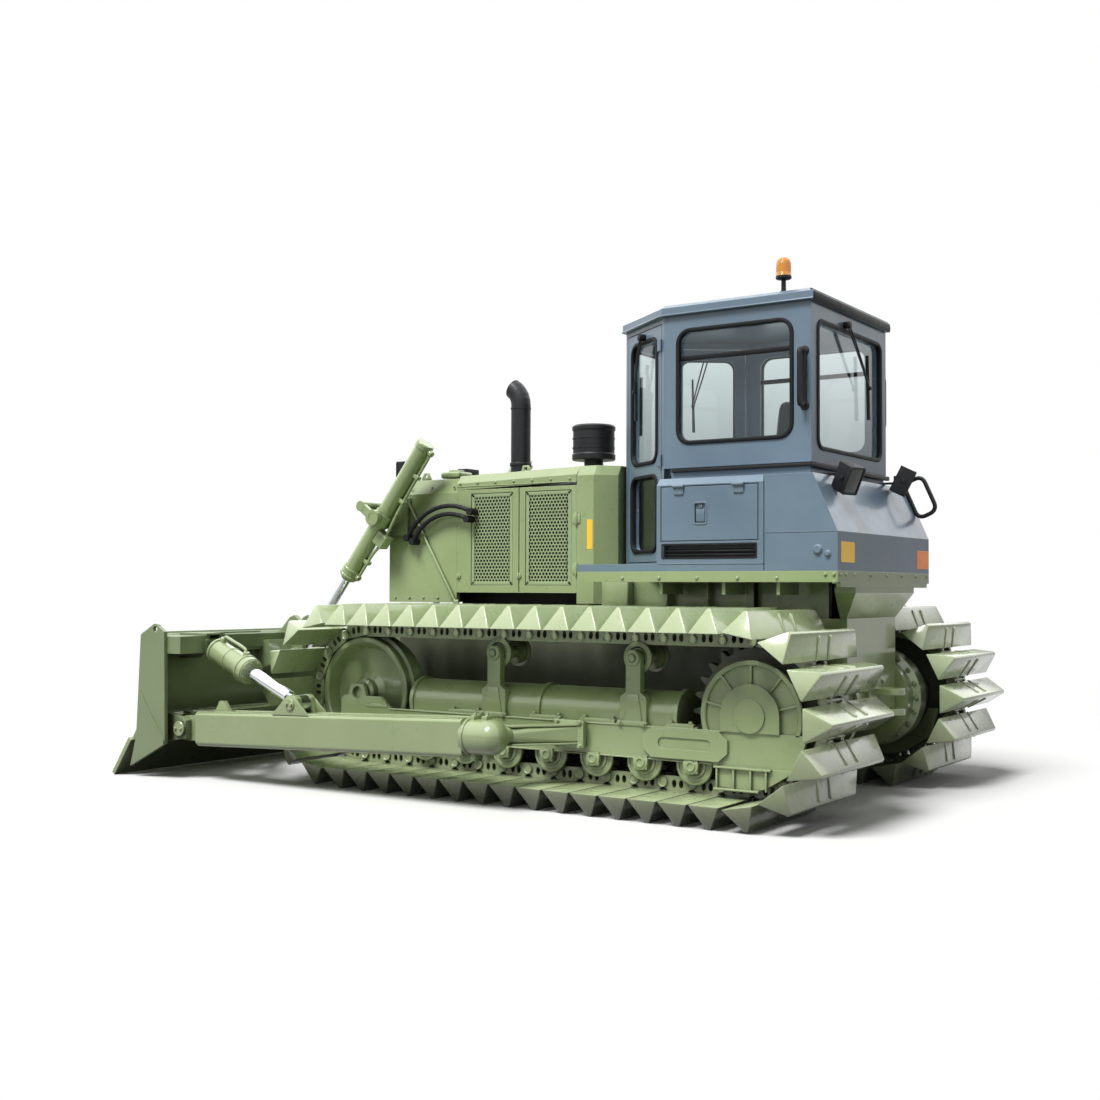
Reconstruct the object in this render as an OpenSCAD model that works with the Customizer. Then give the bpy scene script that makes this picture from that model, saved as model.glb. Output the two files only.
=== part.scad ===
// Swamp bulldozer with triangular track shoes, a straight blade and a six-sided cab.
// Millimetres, +X forward, +Y to the machine's left, +Z up, ground at z = 0.

/* [Tracks] */
// Distance between the centres of the two tracks
track_gauge = 2300; // [2250:10:2350]
// Width of one swamp shoe
shoe_w = 1100; // [1050:10:1140]
// Links and shoes in one loop
shoe_count = 44; // [44:1:45]
// Distance between link pins
link_pitch = 203.2; // [200:0.1:206]
// Links that would wrap one full turn of the sprocket
sprocket_links = 13.5; // [13.5:0.5:14]
// Height of a shoe from its plate to its edge
shoe_h = 146; // [130:1:155]
// Length of a shoe plate along the track
shoe_base = 196; // [180:1:198]
// Width of the shoe's blunt edge
shoe_edge = 22; // [12:1:40]
// Slope of each shoe end, base to edge
shoe_taper = 73; // [40:1:100]
// Pin line to shoe plate
link_drop = 50; // [46:1:56]
// Pin line to the rail that the rollers run on
rail_rise = 42; // [38:1:46]
// Centre of a link rail from the track centre
rail_y = 82; // [78:1:90]
// Width of a link rail
rail_w = 40; // [36:1:44]

/* [Undercarriage] */
// Number of track rollers on each side
roller_count = 7; // [6:1:7]
// Spacing of the track rollers
roller_pitch = 350; // [330:5:360]
// First track roller ahead of the sprocket
roller_first = 388; // [380:1:410]
// Tread radius of a track roller
roller_r = 80; // [76:1:84]
// Height of the roller flanges above the tread
flange_h = 20; // [14:1:24]
// Tread radius of a carrier roller
carrier_r = 80; // [72:1:86]
// Rear carrier roller ahead of the sprocket
carrier_rear_x = 805; // [780:5:850]
// Front carrier roller ahead of the sprocket
carrier_front_x = 1880; // [1840:5:1920]
// Width of a track frame
beam_w = 360; // [350:5:372]
// Height of a track frame's side plates
beam_h = 206; // [190:2:220]
// Thickness of a track frame's side plates
beam_plate = 30; // [24:1:34]
// Radius of the recoil spring's casing
recoil_r = 150; // [130:5:160]

/* [Blade] */
// Blade past the outer faces of the push arms
blade_over = 115; // [90:5:140]
// Height of the top edge above ground
blade_h = 1055; // [1000:5:1100]
// Radius of the hollow front face
blade_r = 850; // [820:5:900]
// Thickness of the blade plate
blade_plate = 28; // [22:1:36]
// Thickness of an end plate
end_plate = 40; // [30:1:50]
// Cutting edge above ground as parked
edge_gap = 20; // [15:1:40]
// Thickness of the cutting edge
edge_t = 32; // [25:1:40]
// Track front to the blade's lower pins
blade_gap = 465; // [450:5:500]

/* [Push arms] */
// Push arm clear of the track shoes
arm_gap = 70; // [60:2:90]
// Thickness of a push arm
arm_w = 190; // [170:2:200]
// Depth of a push arm
arm_h = 236; // [220:2:250]
// Arm pivot ahead of the sprocket
arm_pivot_x = 1490; // [1450:5:1530]
// Arm pivot below the axle line
arm_pivot_drop = 172; // [160:2:180]
// Blade's lower pins below the axle line
arm_pin_drop = 269; // [262:1:276]

/* [Lift cylinders] */
// Centre of a lift cylinder from the middle of the machine
lift_y = 650; // [645:1:660]
// Outer radius of the tube
tube_r = 65; // [60:1:70]
// Radius of the rod
rod_r = 32; // [28:1:36]
// Tube above its trunnion
tube_top = 703; // [680:1:715]
// Tube below its trunnion
tube_low = 560; // [540:1:570]
// Trunnion behind the hood's front
trunnion_back = 53; // [45:1:60]
// Trunnion above the axle line
trunnion_rise = 1286; // [1270:2:1300]
// Rod pin behind the blade's top edge
lift_pin_back = 265; // [255:1:275]
// Rod pin below the blade's top edge
lift_pin_drop = 205; // [195:1:215]

/* [Hood] */
// Width of the hood
hood_w = 1000; // [980:5:1010]
// Length of the radiator guard
guard_len = 665; // [640:5:690]
// Length of the side screens
screen_len = 1080; // [1060:5:1100]
// Length of the dash cowl
cowl_len = 260; // [240:5:280]
// Gap between cab and cowl
cab_gap = 20; // [15:1:40]
// Exhaust pipe ahead of the screens' rear edge
exhaust_ahead = 740; // [700:5:780]
// Pre-cleaner ahead of the screens' rear edge
stack_ahead = 80; // [75:1:100]
// Exhaust and pre-cleaner left of the middle
stack_y = 150; // [120:5:180]
// Top of the hood above the axle line at the cowl
hood_rise = 1631; // [1600:2:1650]
// Fall of the hood towards the front
hood_fall = 50; // [30:2:70]
// Thickness of hood panels and doors
panel_t = 40; // [30:1:45]

/* [Cab] */
// Width of the cab
cab_w = 1306; // [1280:2:1330]
// Rear wall behind the sprocket
cab_back = 95; // [85:1:105]
// Length of the straight side walls
cab_side = 1060; // [1030:5:1080]
// Length of the slanted front corners
cab_nose = 515; // [500:5:525]
// Width of the front wall
cab_front_w = 570; // [540:5:600]
// Top of the deck above the axle line
deck_rise = 863; // [850:1:880]
// Height of the boxes beside the cab
box_h = 610; // [600:1:615]
// Cab wall's lower edge above the deck
cab_rise = 690; // [685:1:700]
// Height of the cab walls above that edge
cab_h = 1025; // [1000:5:1050]
// Thickness of cab walls and doors
wall_t = 55; // [45:1:60]
// Thickness of window glass
glass_t = 8; // [6:1:10]
// Thickness of the roof
roof_t = 75; // [60:1:85]

/* [Rear body] */
// Width over the side boxes and the tank
body_w = 1660; // [1640:5:1680]
// Rear face of the tank behind the sprocket
tank_back = 341; // [330:1:350]
// Height of the tank's upright rear face
tank_face = 242; // [230:1:255]
// Depth of the deck rail
deck_t = 70; // [60:1:80]
// Bore of the tow clevis
tow_bore = 52; // [46:1:60]

/* [Clearances] */
// Running gap at pins, rods and treads
run_gap = 0.3; // [0.2:0.05:0.5]
// Gap between moving panels
panel_gap = 6; // [5:0.5:8]

/* [Hidden] */
$fn = 48;
green = "#9CAA7E";
grey = "#6E7B86";
dark = "#2A2D30";
chrome = "#C9CED2";

// Track path, from the rearmost point down and forward
cab_half = cab_w / 2;
nose_half = cab_front_w / 2;
cab_side_x = cab_side - cab_back;
cab_front_x = cab_side_x + cab_nose;
nose_angle = atan2(nose_half - cab_half, cab_nose);
nose_len = norm([cab_nose, cab_half - nose_half]);
cowl_rear_x = cab_front_x + cab_gap;
door_rear_x = cowl_rear_x + cowl_len;
door_front_x = door_rear_x + screen_len;
hood_front_x = door_front_x + guard_len;
exhaust_x = door_rear_x + exhaust_ahead;
stack_x = door_rear_x + stack_ahead;
pitch_r = link_pitch / 2 / sin(180 / sprocket_links);
tip_r = pitch_r + link_drop + shoe_h;
rail_r = pitch_r - rail_rise;
axle_z = tip_r;
wheel_base = (shoe_count * link_pitch - 2 * PI * pitch_r) / 2;
quarter = PI * pitch_r / 2;
wrap_steps = 14;
track_y = track_gauge / 2;
track_front_x = wheel_base + tip_r;
arm_y = track_y + shoe_w / 2 + arm_gap + arm_w / 2;
blade_w = 2 * (arm_y + arm_w / 2 + blade_over);

// Undercarriage levels
beam_top_z = axle_z - 96;
beam_low_z = beam_top_z - beam_h;
roller_z = axle_z - rail_r + roller_r + run_gap;
carrier_z = axle_z + rail_r - carrier_r - run_gap;
beam_in = beam_w / 2 - beam_plate;
roller_half = beam_in - 12;
carrier_half = beam_w / 2 - 64;
fork_rear_x = pitch_r + 60;
fork_front_x = wheel_base - pitch_r - 30;
beam_rear_x = -300;
casing_z = beam_top_z + 60;

// Arm line, from its pivot to the blade's lower pin
blade_pin_x = track_front_x + blade_gap;
arm_pivot_z = axle_z - arm_pivot_drop;
arm_pin_z = axle_z - arm_pin_drop;
arm_slope = atan2(arm_pin_z - arm_pivot_z, blade_pin_x - arm_pivot_x);
arm_len = norm([blade_pin_x - arm_pivot_x, arm_pin_z - arm_pivot_z]);

// Blade profile: a hollow arc from the top edge, then a straight edge to the toe
blade_top = [blade_pin_x + 357, blade_h];
blade_foot = [blade_pin_x + 452, 285];
chord = blade_foot - blade_top;
chord_n = [-chord[1], chord[0]] / norm(chord);
blade_c = (blade_top + blade_foot) / 2 + chord_n * sqrt(pow(blade_r, 2) - pow(norm(chord) / 2, 2));
foot_n = (blade_foot - blade_c) / blade_r;
foot_t = [-foot_n[1], foot_n[0]];
toe = blade_foot + foot_t * (blade_foot[1] - edge_gap) / -foot_t[1];
blade_in = blade_w / 2 - end_plate;
back_x = blade_c[0] - blade_r - blade_plate;
eye_at = [blade_pin_x + 190, blade_h + 24];
eye_rim = 40;
eye_r = 22;

// Tilt cylinder line
tilt_head = [blade_pin_x + 12, arm_y - 150, blade_h - 95];
tilt_foot = [blade_pin_x - 1066, arm_y, arm_pivot_z + 127];
tilt_r = 85;
tilt_rod_r = 47;
tilt_len = 560;
mid_x = (toe[0] - tip_r) / 2;

ball_r = 75;

// Lift cylinder line
trunnion = [hood_front_x - trunnion_back, axle_z + trunnion_rise];
lift_pin = [blade_top[0] - lift_pin_back, blade_h - lift_pin_drop];
lift_len = norm(lift_pin - trunnion);
lift_tilt = atan2(lift_pin[0] - trunnion[0], trunnion[1] - lift_pin[1]);
rod_in = 5;
yoke_arm = 150;

// Body levels
deck_z = axle_z + deck_rise;
box_top_z = deck_z + box_h;
cab_z = deck_z + cab_rise;
roof_z = cab_z + cab_h;
hood_z = axle_z + hood_rise;
hood_low_z = axle_z + 640;
hood_seam = 110;
door_low_z = hood_low_z + 80;
hood_half = hood_w / 2;
cowl_half = hood_half - 140;
body_half = body_w / 2;
well_half = 490;
seam = 0.3;
exhaust_r = 75;
stack_r = 70;
nose_in = wall_t * tan(-nose_angle / 2);
nose_turn = wall_t * tan((90 + nose_angle) / 2);
door_x0 = 42;
hinge_x = door_x0 - panel_gap / 2;
hinge_y = 12;
door_x1 = nose_len - 42;
door_z0 = deck_z + 70;
door_z1 = roof_z - 45;
side_win = [45, cab_side_x - 115, cab_z + 175, roof_z - 115];
rear_win = [cab_half - 110, cab_z + 105, roof_z - 120];
front_win = [nose_half - 50, cab_z - 20, roof_z - 120];
box_door_x0 = 186 + panel_gap;
box_door_x1 = cab_side_x - 75 - panel_gap;
box_door_z0 = deck_z + 200;
box_door_z1 = box_top_z - 60;
floor_z = deck_z + 60;
case_half = 430;
tow_z = axle_z + 20;
tow_reach = 140;
bar_x = 2000;
bar_z = axle_z - 40;
pivot_x = 620;

// Puts the machine's middle over the origin
module place() {
    translate([-mid_x, 0, 0]) children();
}

// The piece and its mirror image on the other side
module both_sides() {
    children();
    mirror([0, 1, 0]) children();
}

// A side outline, points in x and z, from y0 to y1
module side_plate(points, y0, y1) {
    translate([0, y1, 0]) rotate([90, 0, 0]) linear_extrude(y1 - y0) polygon(points);
}

// A round bar along y
module bar_y(x, z, r, y0, y1) {
    translate([x, y1, z]) rotate([90, 0, 0]) cylinder(r = r, h = y1 - y0);
}

// A box from its low and high corners
module block(low, high) {
    translate(low) cube(high - low);
}

// A flat rounded rectangle, centred
module round_rect(w, h, r) {
    square([w - 2 * r, h], center = true);
    square([w, h - 2 * r], center = true);
    for (sx = [-1, 1], sy = [-1, 1]) translate([sx * (w / 2 - r), sy * (h / 2 - r)]) circle(r);
}

// A window-shaped prism in a side wall, along y
module side_window(x0, x1, z0, z1, r, y0, y1) {
    translate([(x0 + x1) / 2, y1, (z0 + z1) / 2]) rotate([90, 0, 0])
        linear_extrude(y1 - y0) round_rect(x1 - x0, z1 - z0, r);
}

// A window-shaped prism in an end wall, along x
module end_window(y0, y1, z0, z1, r, x0, x1) {
    translate([x0, (y0 + y1) / 2, (z0 + z1) / 2]) rotate([90, 0, 90])
        linear_extrude(x1 - x0) round_rect(y1 - y0, z1 - z0, r);
}

// Tracks

// Place on the loop at distance s: x, z and the outward angle
function loop_at(s) =
    s < quarter ? arc_at(0, 180 + s / pitch_r * 180 / PI) :
    s < quarter + wheel_base ? [s - quarter, axle_z - pitch_r, 270] :
    s < 3 * quarter + wheel_base ? arc_at(wheel_base, 270 + (s - quarter - wheel_base) / pitch_r * 180 / PI) :
    s < 3 * quarter + 2 * wheel_base ? [2 * wheel_base + 3 * quarter - s, axle_z + pitch_r, 90] :
    arc_at(0, 90 + (s - 3 * quarter - 2 * wheel_base) / pitch_r * 180 / PI);
function arc_at(x, angle) = [x + pitch_r * cos(angle), axle_z + pitch_r * sin(angle), angle];

module shoe() {
    hull() {
        translate([-shoe_base / 2, -shoe_w / 2, link_drop]) cube([shoe_base, shoe_w, 6]);
        translate([-shoe_edge / 2, -shoe_w / 2 + shoe_taper, link_drop + shoe_h - 6])
            cube([shoe_edge, shoe_w - 2 * shoe_taper, 6]);
    }
}

// Outline of the loop, offset outward from the pin line
function loop_outline(offset) = [
    for (x = [0, wheel_base], i = [0 : wrap_steps])
        let (angle = (x == 0 ? 90 : -90) + i * 180 / wrap_steps)
            [x + (pitch_r + offset) * cos(angle), axle_z + (pitch_r + offset) * sin(angle)]
];

// One of the two rails of links that carry the shoes
module link_rail(side) {
    points = concat(loop_outline(link_drop + 4), loop_outline(-rail_rise));
    n = len(points) / 2;
    translate([0, side * rail_y + rail_w / 2, 0]) rotate([90, 0, 0]) linear_extrude(rail_w)
        polygon(points, [[for (i = [0 : n - 1]) i], [for (i = [n : 2 * n - 1]) i]]);
}

module track(side) {
    color(green) translate([0, side * track_y, 0]) {
        for (k = [0 : shoe_count - 1]) {
            p = loop_at(k * link_pitch);
            translate([p[0], 0, p[1]]) rotate([0, 90 - p[2], 0]) shoe();
        }
        for (rail = [-1, 1]) link_rail(rail);
    }
}

// Undercarriage, drawn about the left track's centre

module roller(tread_r, half) {
    profile = [
        [0, -half], [tread_r - 22, -half], [tread_r - 10, 10 - half], [tread_r - 10,
            -rail_y - rail_w / 2 - 22],
        [tread_r + flange_h, -rail_y - rail_w / 2 - 18], [tread_r + flange_h, -rail_y - rail_w / 2 - 4],
        [tread_r, -rail_y - rail_w / 2 - 2], [tread_r, -rail_y + rail_w / 2 + 4],
        [tread_r - 40, -rail_y + rail_w / 2 + 12], [tread_r - 40, 0]
    ];
    upper = [for (i = [len(profile) - 2 : -1 : 0]) [profile[i][0], -profile[i][1]]];
    rotate([90, 0, 0]) rotate_extrude() polygon(concat(profile, upper));
}

module rollers() {
    shaft_r = 28;
    color(green) both_sides() {
        for (i = [0 : roller_count - 1])
            translate([roller_first + i * roller_pitch, track_y, roller_z]) roller(roller_r, roller_half);
        for (x = [carrier_rear_x, carrier_front_x]) translate([x, track_y, carrier_z]) {
            roller(carrier_r, carrier_half);
            bar_y(0, 0, shaft_r, carrier_half - 8, beam_w / 2 - 8);
        }
    }
}

module idlers() {
    tread = rail_r * cos(90 / wrap_steps) - run_gap;
    half = 105;
    web = 24;
    rim = 46;
    hub_r = 95;
    hub_half = 128;
    profile = [
        [0, -hub_half], [hub_r - 18, -hub_half], [hub_r, 18 - hub_half], [hub_r, -web - 36],
        [hub_r + 45, -web - 12], [tread - rim - 40, -web], [tread - rim, -half + 8], [tread - rim + 10,
            -half],
        [tread - 8, -half], [tread, -half + 8], [tread, -46], [tread + 26, -40], [tread + 26, 0]
    ];
    upper = [for (i = [len(profile) - 2 : -1 : 0]) [profile[i][0], -profile[i][1]]];
    shaft_r = 45;
    color(green) both_sides() translate([wheel_base, track_y, axle_z]) {
        rotate([90, 0, 0]) rotate_extrude($fn = 96) polygon(concat(profile, upper));
        bar_y(0, 0, shaft_r, -beam_in, beam_in);
    }
}

module sprockets() {
    teeth = 2 * sprocket_links;
    step = 360 / teeth;
    bush_r = 34;
    root_r = pitch_r - bush_r - 2;
    tooth_r = pitch_r + 14;
    ring = [for (i = [0 : teeth - 1], p = [[-0.26, root_r], [-0.1, tooth_r], [0.1, tooth_r], [0.26,
        root_r]])
        p[1] * [cos((i + p[0]) * step), sin((i + p[0]) * step)]];
    disc_half = 30;
    hub_r = 190;
    color(green) both_sides() translate([0, track_y, axle_z]) {
        rotate([90, 0, 0]) translate([0, 0, -disc_half]) linear_extrude(2 * disc_half) polygon(ring);
        bar_y(0, 0, hub_r, disc_half, beam_in - 40);
        bar_y(0, 0, 70, beam_in - 40, beam_in);
        bar_y(0, 0, hub_r + 60, -70, -disc_half);
    }
}

module final_drives() {
    inner = case_half - track_y;
    profile = [
        [0, inner], [330, inner], [330, inner + 45], [300, inner + 45], [300, inner + 190],
        [345, inner + 215], [345, inner + 330], [290, inner + 420], [240, -70], [0, -70]
    ];
    color(green) both_sides() translate([0, track_y, axle_z])
        rotate([-90, 0, 0]) rotate_extrude($fn = 72) polygon(profile);
}

// Inverted channel that carries rollers, idler and recoil casing
module track_frame() {
    half = beam_w / 2;
    rear_top = beam_rear_x - 60;
    front_x = wheel_base + 150;
    post_w = 190;
    post_top = 104;
    guard_r = 320;
    color(green) translate([0, track_y, 0]) {
        difference() {
            union() {
                for (side = [-1, 1]) side_plate([
                    [beam_rear_x, beam_low_z], [front_x - 60, beam_low_z], [front_x, beam_low_z + 60],
                    [front_x, axle_z - 50], [front_x - 30, axle_z - 20], [wheel_base + 85, axle_z - 20],
                    [wheel_base + 60, axle_z + 62], [wheel_base - 60, axle_z + 62], [wheel_base - 85,
                        axle_z - 20],
                    [wheel_base - 220, axle_z - 20], [wheel_base - 300, beam_top_z], [rear_top,
                        beam_top_z]
                ], side > 0 ? beam_in : -half, side > 0 ? half : -beam_in);
                block([fork_rear_x, -half, beam_top_z - 36], [fork_front_x, half, beam_top_z]);
                recoil_casing();
                for (x = [carrier_rear_x, carrier_front_x]) carrier_post(x, post_w, post_top);
                rear_support(guard_r);
            }
            bar_y(wheel_base, axle_z, 45 + run_gap, -half - 1, half + 1);
            bar_y(0, axle_z, 70 + run_gap, beam_in - 20, half + 5);
            bar_y(0, axle_z, 300, -half - 1, -beam_in + 1);
            for (x = [carrier_rear_x, carrier_front_x])
                bar_y(x, carrier_z, 28 + run_gap, half - 60, half + 60);
        }
        roller_collars();
        chain_guard();
        beam_trim();
    }
}

module recoil_casing() {
    ends = [fork_rear_x, fork_front_x];
    translate([ends[0], 0, casing_z]) rotate([0, 90, 0]) cylinder(r = recoil_r, h = ends[1] - ends[0]);
    block([ends[0], -recoil_r, beam_top_z - 10], [ends[1], recoil_r, casing_z]);
    for (x = [ends[0], (ends[0] + ends[1]) / 2 - 40, ends[1] - 30])
        translate([x, 0, casing_z]) rotate([0, 90, 0]) cylinder(r = recoil_r + 14, h = 30);
}

module carrier_post(x, w, top) {
    half = beam_w / 2;
    side_plate([
        [x - w / 2, beam_top_z - 10], [x + w / 2, beam_top_z - 10], [x + w / 2, beam_top_z + 170],
        [x + top / 2, beam_top_z + 200], [x + top / 2, carrier_z], [x - top / 2, carrier_z],
        [x - top / 2, beam_top_z + 200], [x - w / 2, beam_top_z + 170]
    ], half - 56, half - 6);
    bar_y(x, carrier_z, top / 2, half - 56, half - 6);
}

// Half-round outer bearing support and the shield behind it
module rear_support(guard_r) {
    half = beam_w / 2;
    difference() {
        bar_y(0, axle_z, guard_r, beam_in - 14, half - 20);
        block([-guard_r - 1, beam_in - 15, beam_top_z - guard_r - 200], [guard_r + 1, half,
            beam_top_z - 20]);
    }
    difference() {
        bar_y(0, axle_z, 190, half - 20, half + 14);
        block([-200, half - 21, 0], [200, half + 15, beam_top_z]);
    }
    block([-190, half - 21, beam_top_z - 1], [190, half + 14, axle_z]);
    bar_y(0, axle_z, 100, half + 10, half + 24);
}

module roller_collars() {
    half = beam_w / 2;
    for (i = [0 : roller_count - 1], side = [-1, 1])
        translate([roller_first + i * roller_pitch, 0, 0])
            difference() {
                block([-46, side > 0 ? roller_half + run_gap : -half - 16, roller_z - 44],
                      [46, side > 0 ? half + 16 : -roller_half - run_gap, beam_low_z + 20]);
                block([-47, -beam_in - 0.01, beam_low_z], [47, beam_in + 0.01, beam_low_z + 30]);
                block([-47, side > 0 ? beam_in : -half, beam_low_z], [47, side > 0 ? half : -beam_in,
                    beam_low_z + 30]);
            }
}

// Guard that guides the chain ahead of the sprocket
module chain_guard() {
    low = roller_z - 132;
    half = beam_w / 2;
    front = roller_first - 165;
    for (side = [-1, 1]) side_plate([
        [front, beam_low_z], [front, low + 30], [20, low + 10], [beam_rear_x + 200, low + 30],
        [beam_rear_x + 40, beam_low_z - 20], [beam_rear_x + 20, beam_low_z]
    ], side > 0 ? beam_in + 2 : -half - 12, side > 0 ? half + 12 : -beam_in - 2);
}

// Side pads, a slotted cover and step treads on the beam's outer face
module beam_trim() {
    half = beam_w / 2;
    x = 431;
    z = (beam_top_z + beam_low_z) / 2 + 10;
    difference() {
        side_plate([
            [x - 290, z - 40], [x - 230, z - 92], [x + 230, z - 92], [x + 290, z - 40],
            [x + 290, z + 40], [x + 230, z + 88], [x - 230, z + 88], [x - 290, z + 40]
        ], half - 0.01, half + 22);
        side_window(x - 180, x + 180, z - 34, z + 34, 33, half + 12, half + 30);
    }
}

// Front equalizer bar and rear pivot shafts between the track frames
module cross_axles() {
    half = track_y - beam_w / 2;
    h = 80;
    color(green) {
        side_plate([[bar_x - 90, bar_z - h], [bar_x + 90, bar_z - h], [bar_x + 90, bar_z + h],
            [bar_x - 90, bar_z + h]],
                   -half, half);
        both_sides() bar_y(pivot_x, axle_z - 20, 70, case_half + 12, half);
    }
}

// Main frame

module frame_rails() {
    x0 = 420;
    x1 = hood_front_x - 60;
    low = axle_z - 200;
    top = hood_low_z - 10;
    color(green) both_sides() difference() {
        side_plate([[x0, low + 40], [x0 + 120, low], [x1 - 260, low], [x1, low + 190], [x1, top], [x0,
            top]],
                   case_half - 70, case_half + 12);
        block([bar_x - 90, case_half - 71, bar_z - 80], [bar_x + 90, case_half + 13, bar_z + 80]);
    }
}

module belly_guard() {
    x0 = 430;
    x1 = hood_front_x - 70;
    low = axle_z - 200;
    half = case_half - 70 - seam;
    color(green) side_plate([
        [x0, low + 40], [x0 + 120, low], [x1 - 260, low], [x1, low + 190], [x1, low + 210],
        [x1 - 270, low + 22], [x0 + 125, low + 22], [x0, low + 62]
    ], -half, half);
}

// Steering and clutch case with the tow clevis at its back
module rear_case() {
    low = axle_z - 195;
    top = deck_z - 300;
    back = -240;
    jaw_t = 40;
    jaw_gap = 90;
    color(green) difference() {
        union() {
            side_plate([[back, low + 120], [-120, low], [418, low], [418, top], [back, top]],
                -case_half, case_half);
            for (h = [-jaw_gap / 2 - jaw_t, jaw_gap / 2]) translate([back, 0, tow_z + h]) {
                block([-tow_reach, -80, 0], [1, 80, jaw_t]);
                translate([-tow_reach, 0, 0]) cylinder(r = 80, h = jaw_t);
            }
            block([back - 28, -130, tow_z - 150], [back + 1, 130, tow_z + 150]);
        }
        translate([back - tow_reach, 0, tow_z - 200]) cylinder(r = tow_bore / 2, h = 400);
    }
}

// Deck rails, floor plate, brackets and the funnel that narrows to the rear case
module deck() {
    rail = 46;
    back = -tank_back;
    x1 = cowl_rear_x + 40;
    low = deck_z - 300;
    color(green) {
        both_sides() block([back, body_half - rail, deck_z - deck_t], [x1, body_half, deck_z]);
        block([back, -body_half + rail - 1, deck_z - 30], [cab_side_x - 20, body_half - rail + 1,
            deck_z]);
        block([back, -body_half + rail - 1, deck_z - 100], [back + 30, body_half - rail + 1,
            deck_z - 29]);
        both_sides() for (x = [60, 440, 900]) side_plate([
            [x, deck_z - 29], [x + 24, deck_z - 29], [x + 24, deck_z - 150], [x, deck_z - 150]
        ], 500, body_half - rail + 1);
        hull() {
            block([back + 4, -530, deck_z - 135], [back + 144, 530, deck_z - 99]);
            block([back + 101, -case_half - 8, low + 0.3], [back + 145, case_half + 8, low + 5]);
        }
        block([back + 20, -500, deck_z - 110], [back + 140, 500, deck_z - 29]);
        both_sides() {
            block([-100, case_half - 90, low + seam], [400, case_half - 40, deck_z - 29]);
            block([440, case_half - 60, hood_low_z - 10 + seam], [cab_side_x - 60, case_half,
                deck_z - 29]);
        }
    }
}

// Engine, hood and front

module engine() {
    z0 = axle_z - 60;
    x0 = door_rear_x + 120;
    x1 = door_front_x + 120;
    color(dark) {
        block([x0, -230, z0 + 330], [x1, 230, z0 + 900]);
        block([x0 + 40, -160, z0 + 899], [x1 - 40, 160, z0 + 1090]);
        block([x0 + 70, -180, z0 + 110], [x1 - 60, 180, z0 + 331]);
        translate([x1 - 1, 0, z0 + 620]) rotate([0, 90, 0]) cylinder(r = 210, h = 60);
        // feet between the frame rails
        both_sides() for (x = [x0 + 150, x1 - 260])
            block([x, 229, z0 + 400], [x + 120, case_half - 70 - seam, z0 + 470]);
    }
}

function hood_top_at(x) = hood_z - hood_fall * (x - cowl_rear_x) / (hood_front_x - cowl_rear_x);

module radiator_guard() {
    x0 = door_front_x;
    x1 = hood_front_x;
    face = 90;
    color(green) difference() {
        hull() {
            block([x0, -hood_half, hood_low_z], [x1, hood_half, hood_top_at(x1) - hood_seam]);
            block([x0, -hood_half + 46, hood_low_z], [x1 - 12, hood_half - 46, hood_top_at(x1)]);
        }
        end_window(-hood_half + face, hood_half - face, hood_low_z + 90, hood_top_at(x1) - 120, 60,
            x1 - 90, x1 + 1);
        block([x0 - 1, -hood_half + panel_t, hood_low_z - 1], [x0 + 220, hood_half - panel_t,
            hood_top_at(x1) - 160]);
    }
}

module radiator_grille() {
    x1 = hood_front_x;
    half = hood_half - 90 - seam;
    z0 = hood_low_z + 90 + seam;
    z1 = hood_top_at(x1) - 120 - seam;
    bar = 14;
    gap = 52;
    color(dark) {
        difference() {
            end_window(-half, half, z0, z1, 60, x1 - 60, x1 - 16);
            end_window(-half + 40, half - 40, z0 + 40, z1 - 40, 30, x1 - 61, x1 - 15);
        }
        block([x1 - 56, -20, z0 + 39], [x1 - 20, 20, z1 - 39]);
        for (z = [z0 + 70 : gap : z1 - 60]) block([x1 - 50, -half + 39, z], [x1 - 24, half - 39,
            z + bar]);
    }
}

// Bonnet with sloped shoulders
module hood_top() {
    x0 = door_rear_x + 2;
    x1 = door_front_x - 0.5;
    low0 = hood_top_at(x0) - hood_seam;
    low1 = hood_top_at(x1) - hood_seam;
    t = panel_t;
    color(green) difference() {
        hull() for (x = [x0, x1 - 1]) {
            block([x, -hood_half, hood_top_at(x) - hood_seam], [x + 1, hood_half, hood_top_at(x) - 60]);
            block([x, -hood_half + 46, hood_top_at(x) - 60], [x + 1, hood_half - 46, hood_top_at(x)]);
        }
        hull() for (x = [x0 - 1, x1]) block([x, -hood_half + t, hood_top_at(x) - hood_seam - 5],
            [x + 1, hood_half - t, hood_top_at(x) - 64]);
        translate([exhaust_x, stack_y, hood_z - 200]) cylinder(r = exhaust_r + seam, h = 300);
        translate([stack_x, stack_y, hood_z - 200]) cylinder(r = stack_r + seam, h = 300);
    }
}

module cowl() {
    x0 = cowl_rear_x;
    x1 = door_rear_x;
    bevel = 120;
    color(green) difference() {
        hull() {
            translate([0, 0, hood_low_z]) linear_extrude(hood_top_at(x1) - hood_low_z - 70)
                polygon(cowl_plan(0, bevel));
            translate([0, 0, hood_low_z]) linear_extrude(hood_top_at(x1) - hood_low_z)
                polygon(cowl_plan(40, bevel));
        }
        block([x1 - 60, -hood_half + 90, hood_low_z - 1], [x1 + 1, hood_half - 90, hood_z - 200]);
    }
}
function cowl_plan(inset, bevel) = [
    [cowl_rear_x, -cowl_half + inset], [cowl_rear_x + bevel, -hood_half + inset], [door_rear_x,
        -hood_half + inset],
    [door_rear_x, hood_half - inset], [cowl_rear_x + bevel, hood_half - inset], [cowl_rear_x,
        cowl_half - inset]
];

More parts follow.
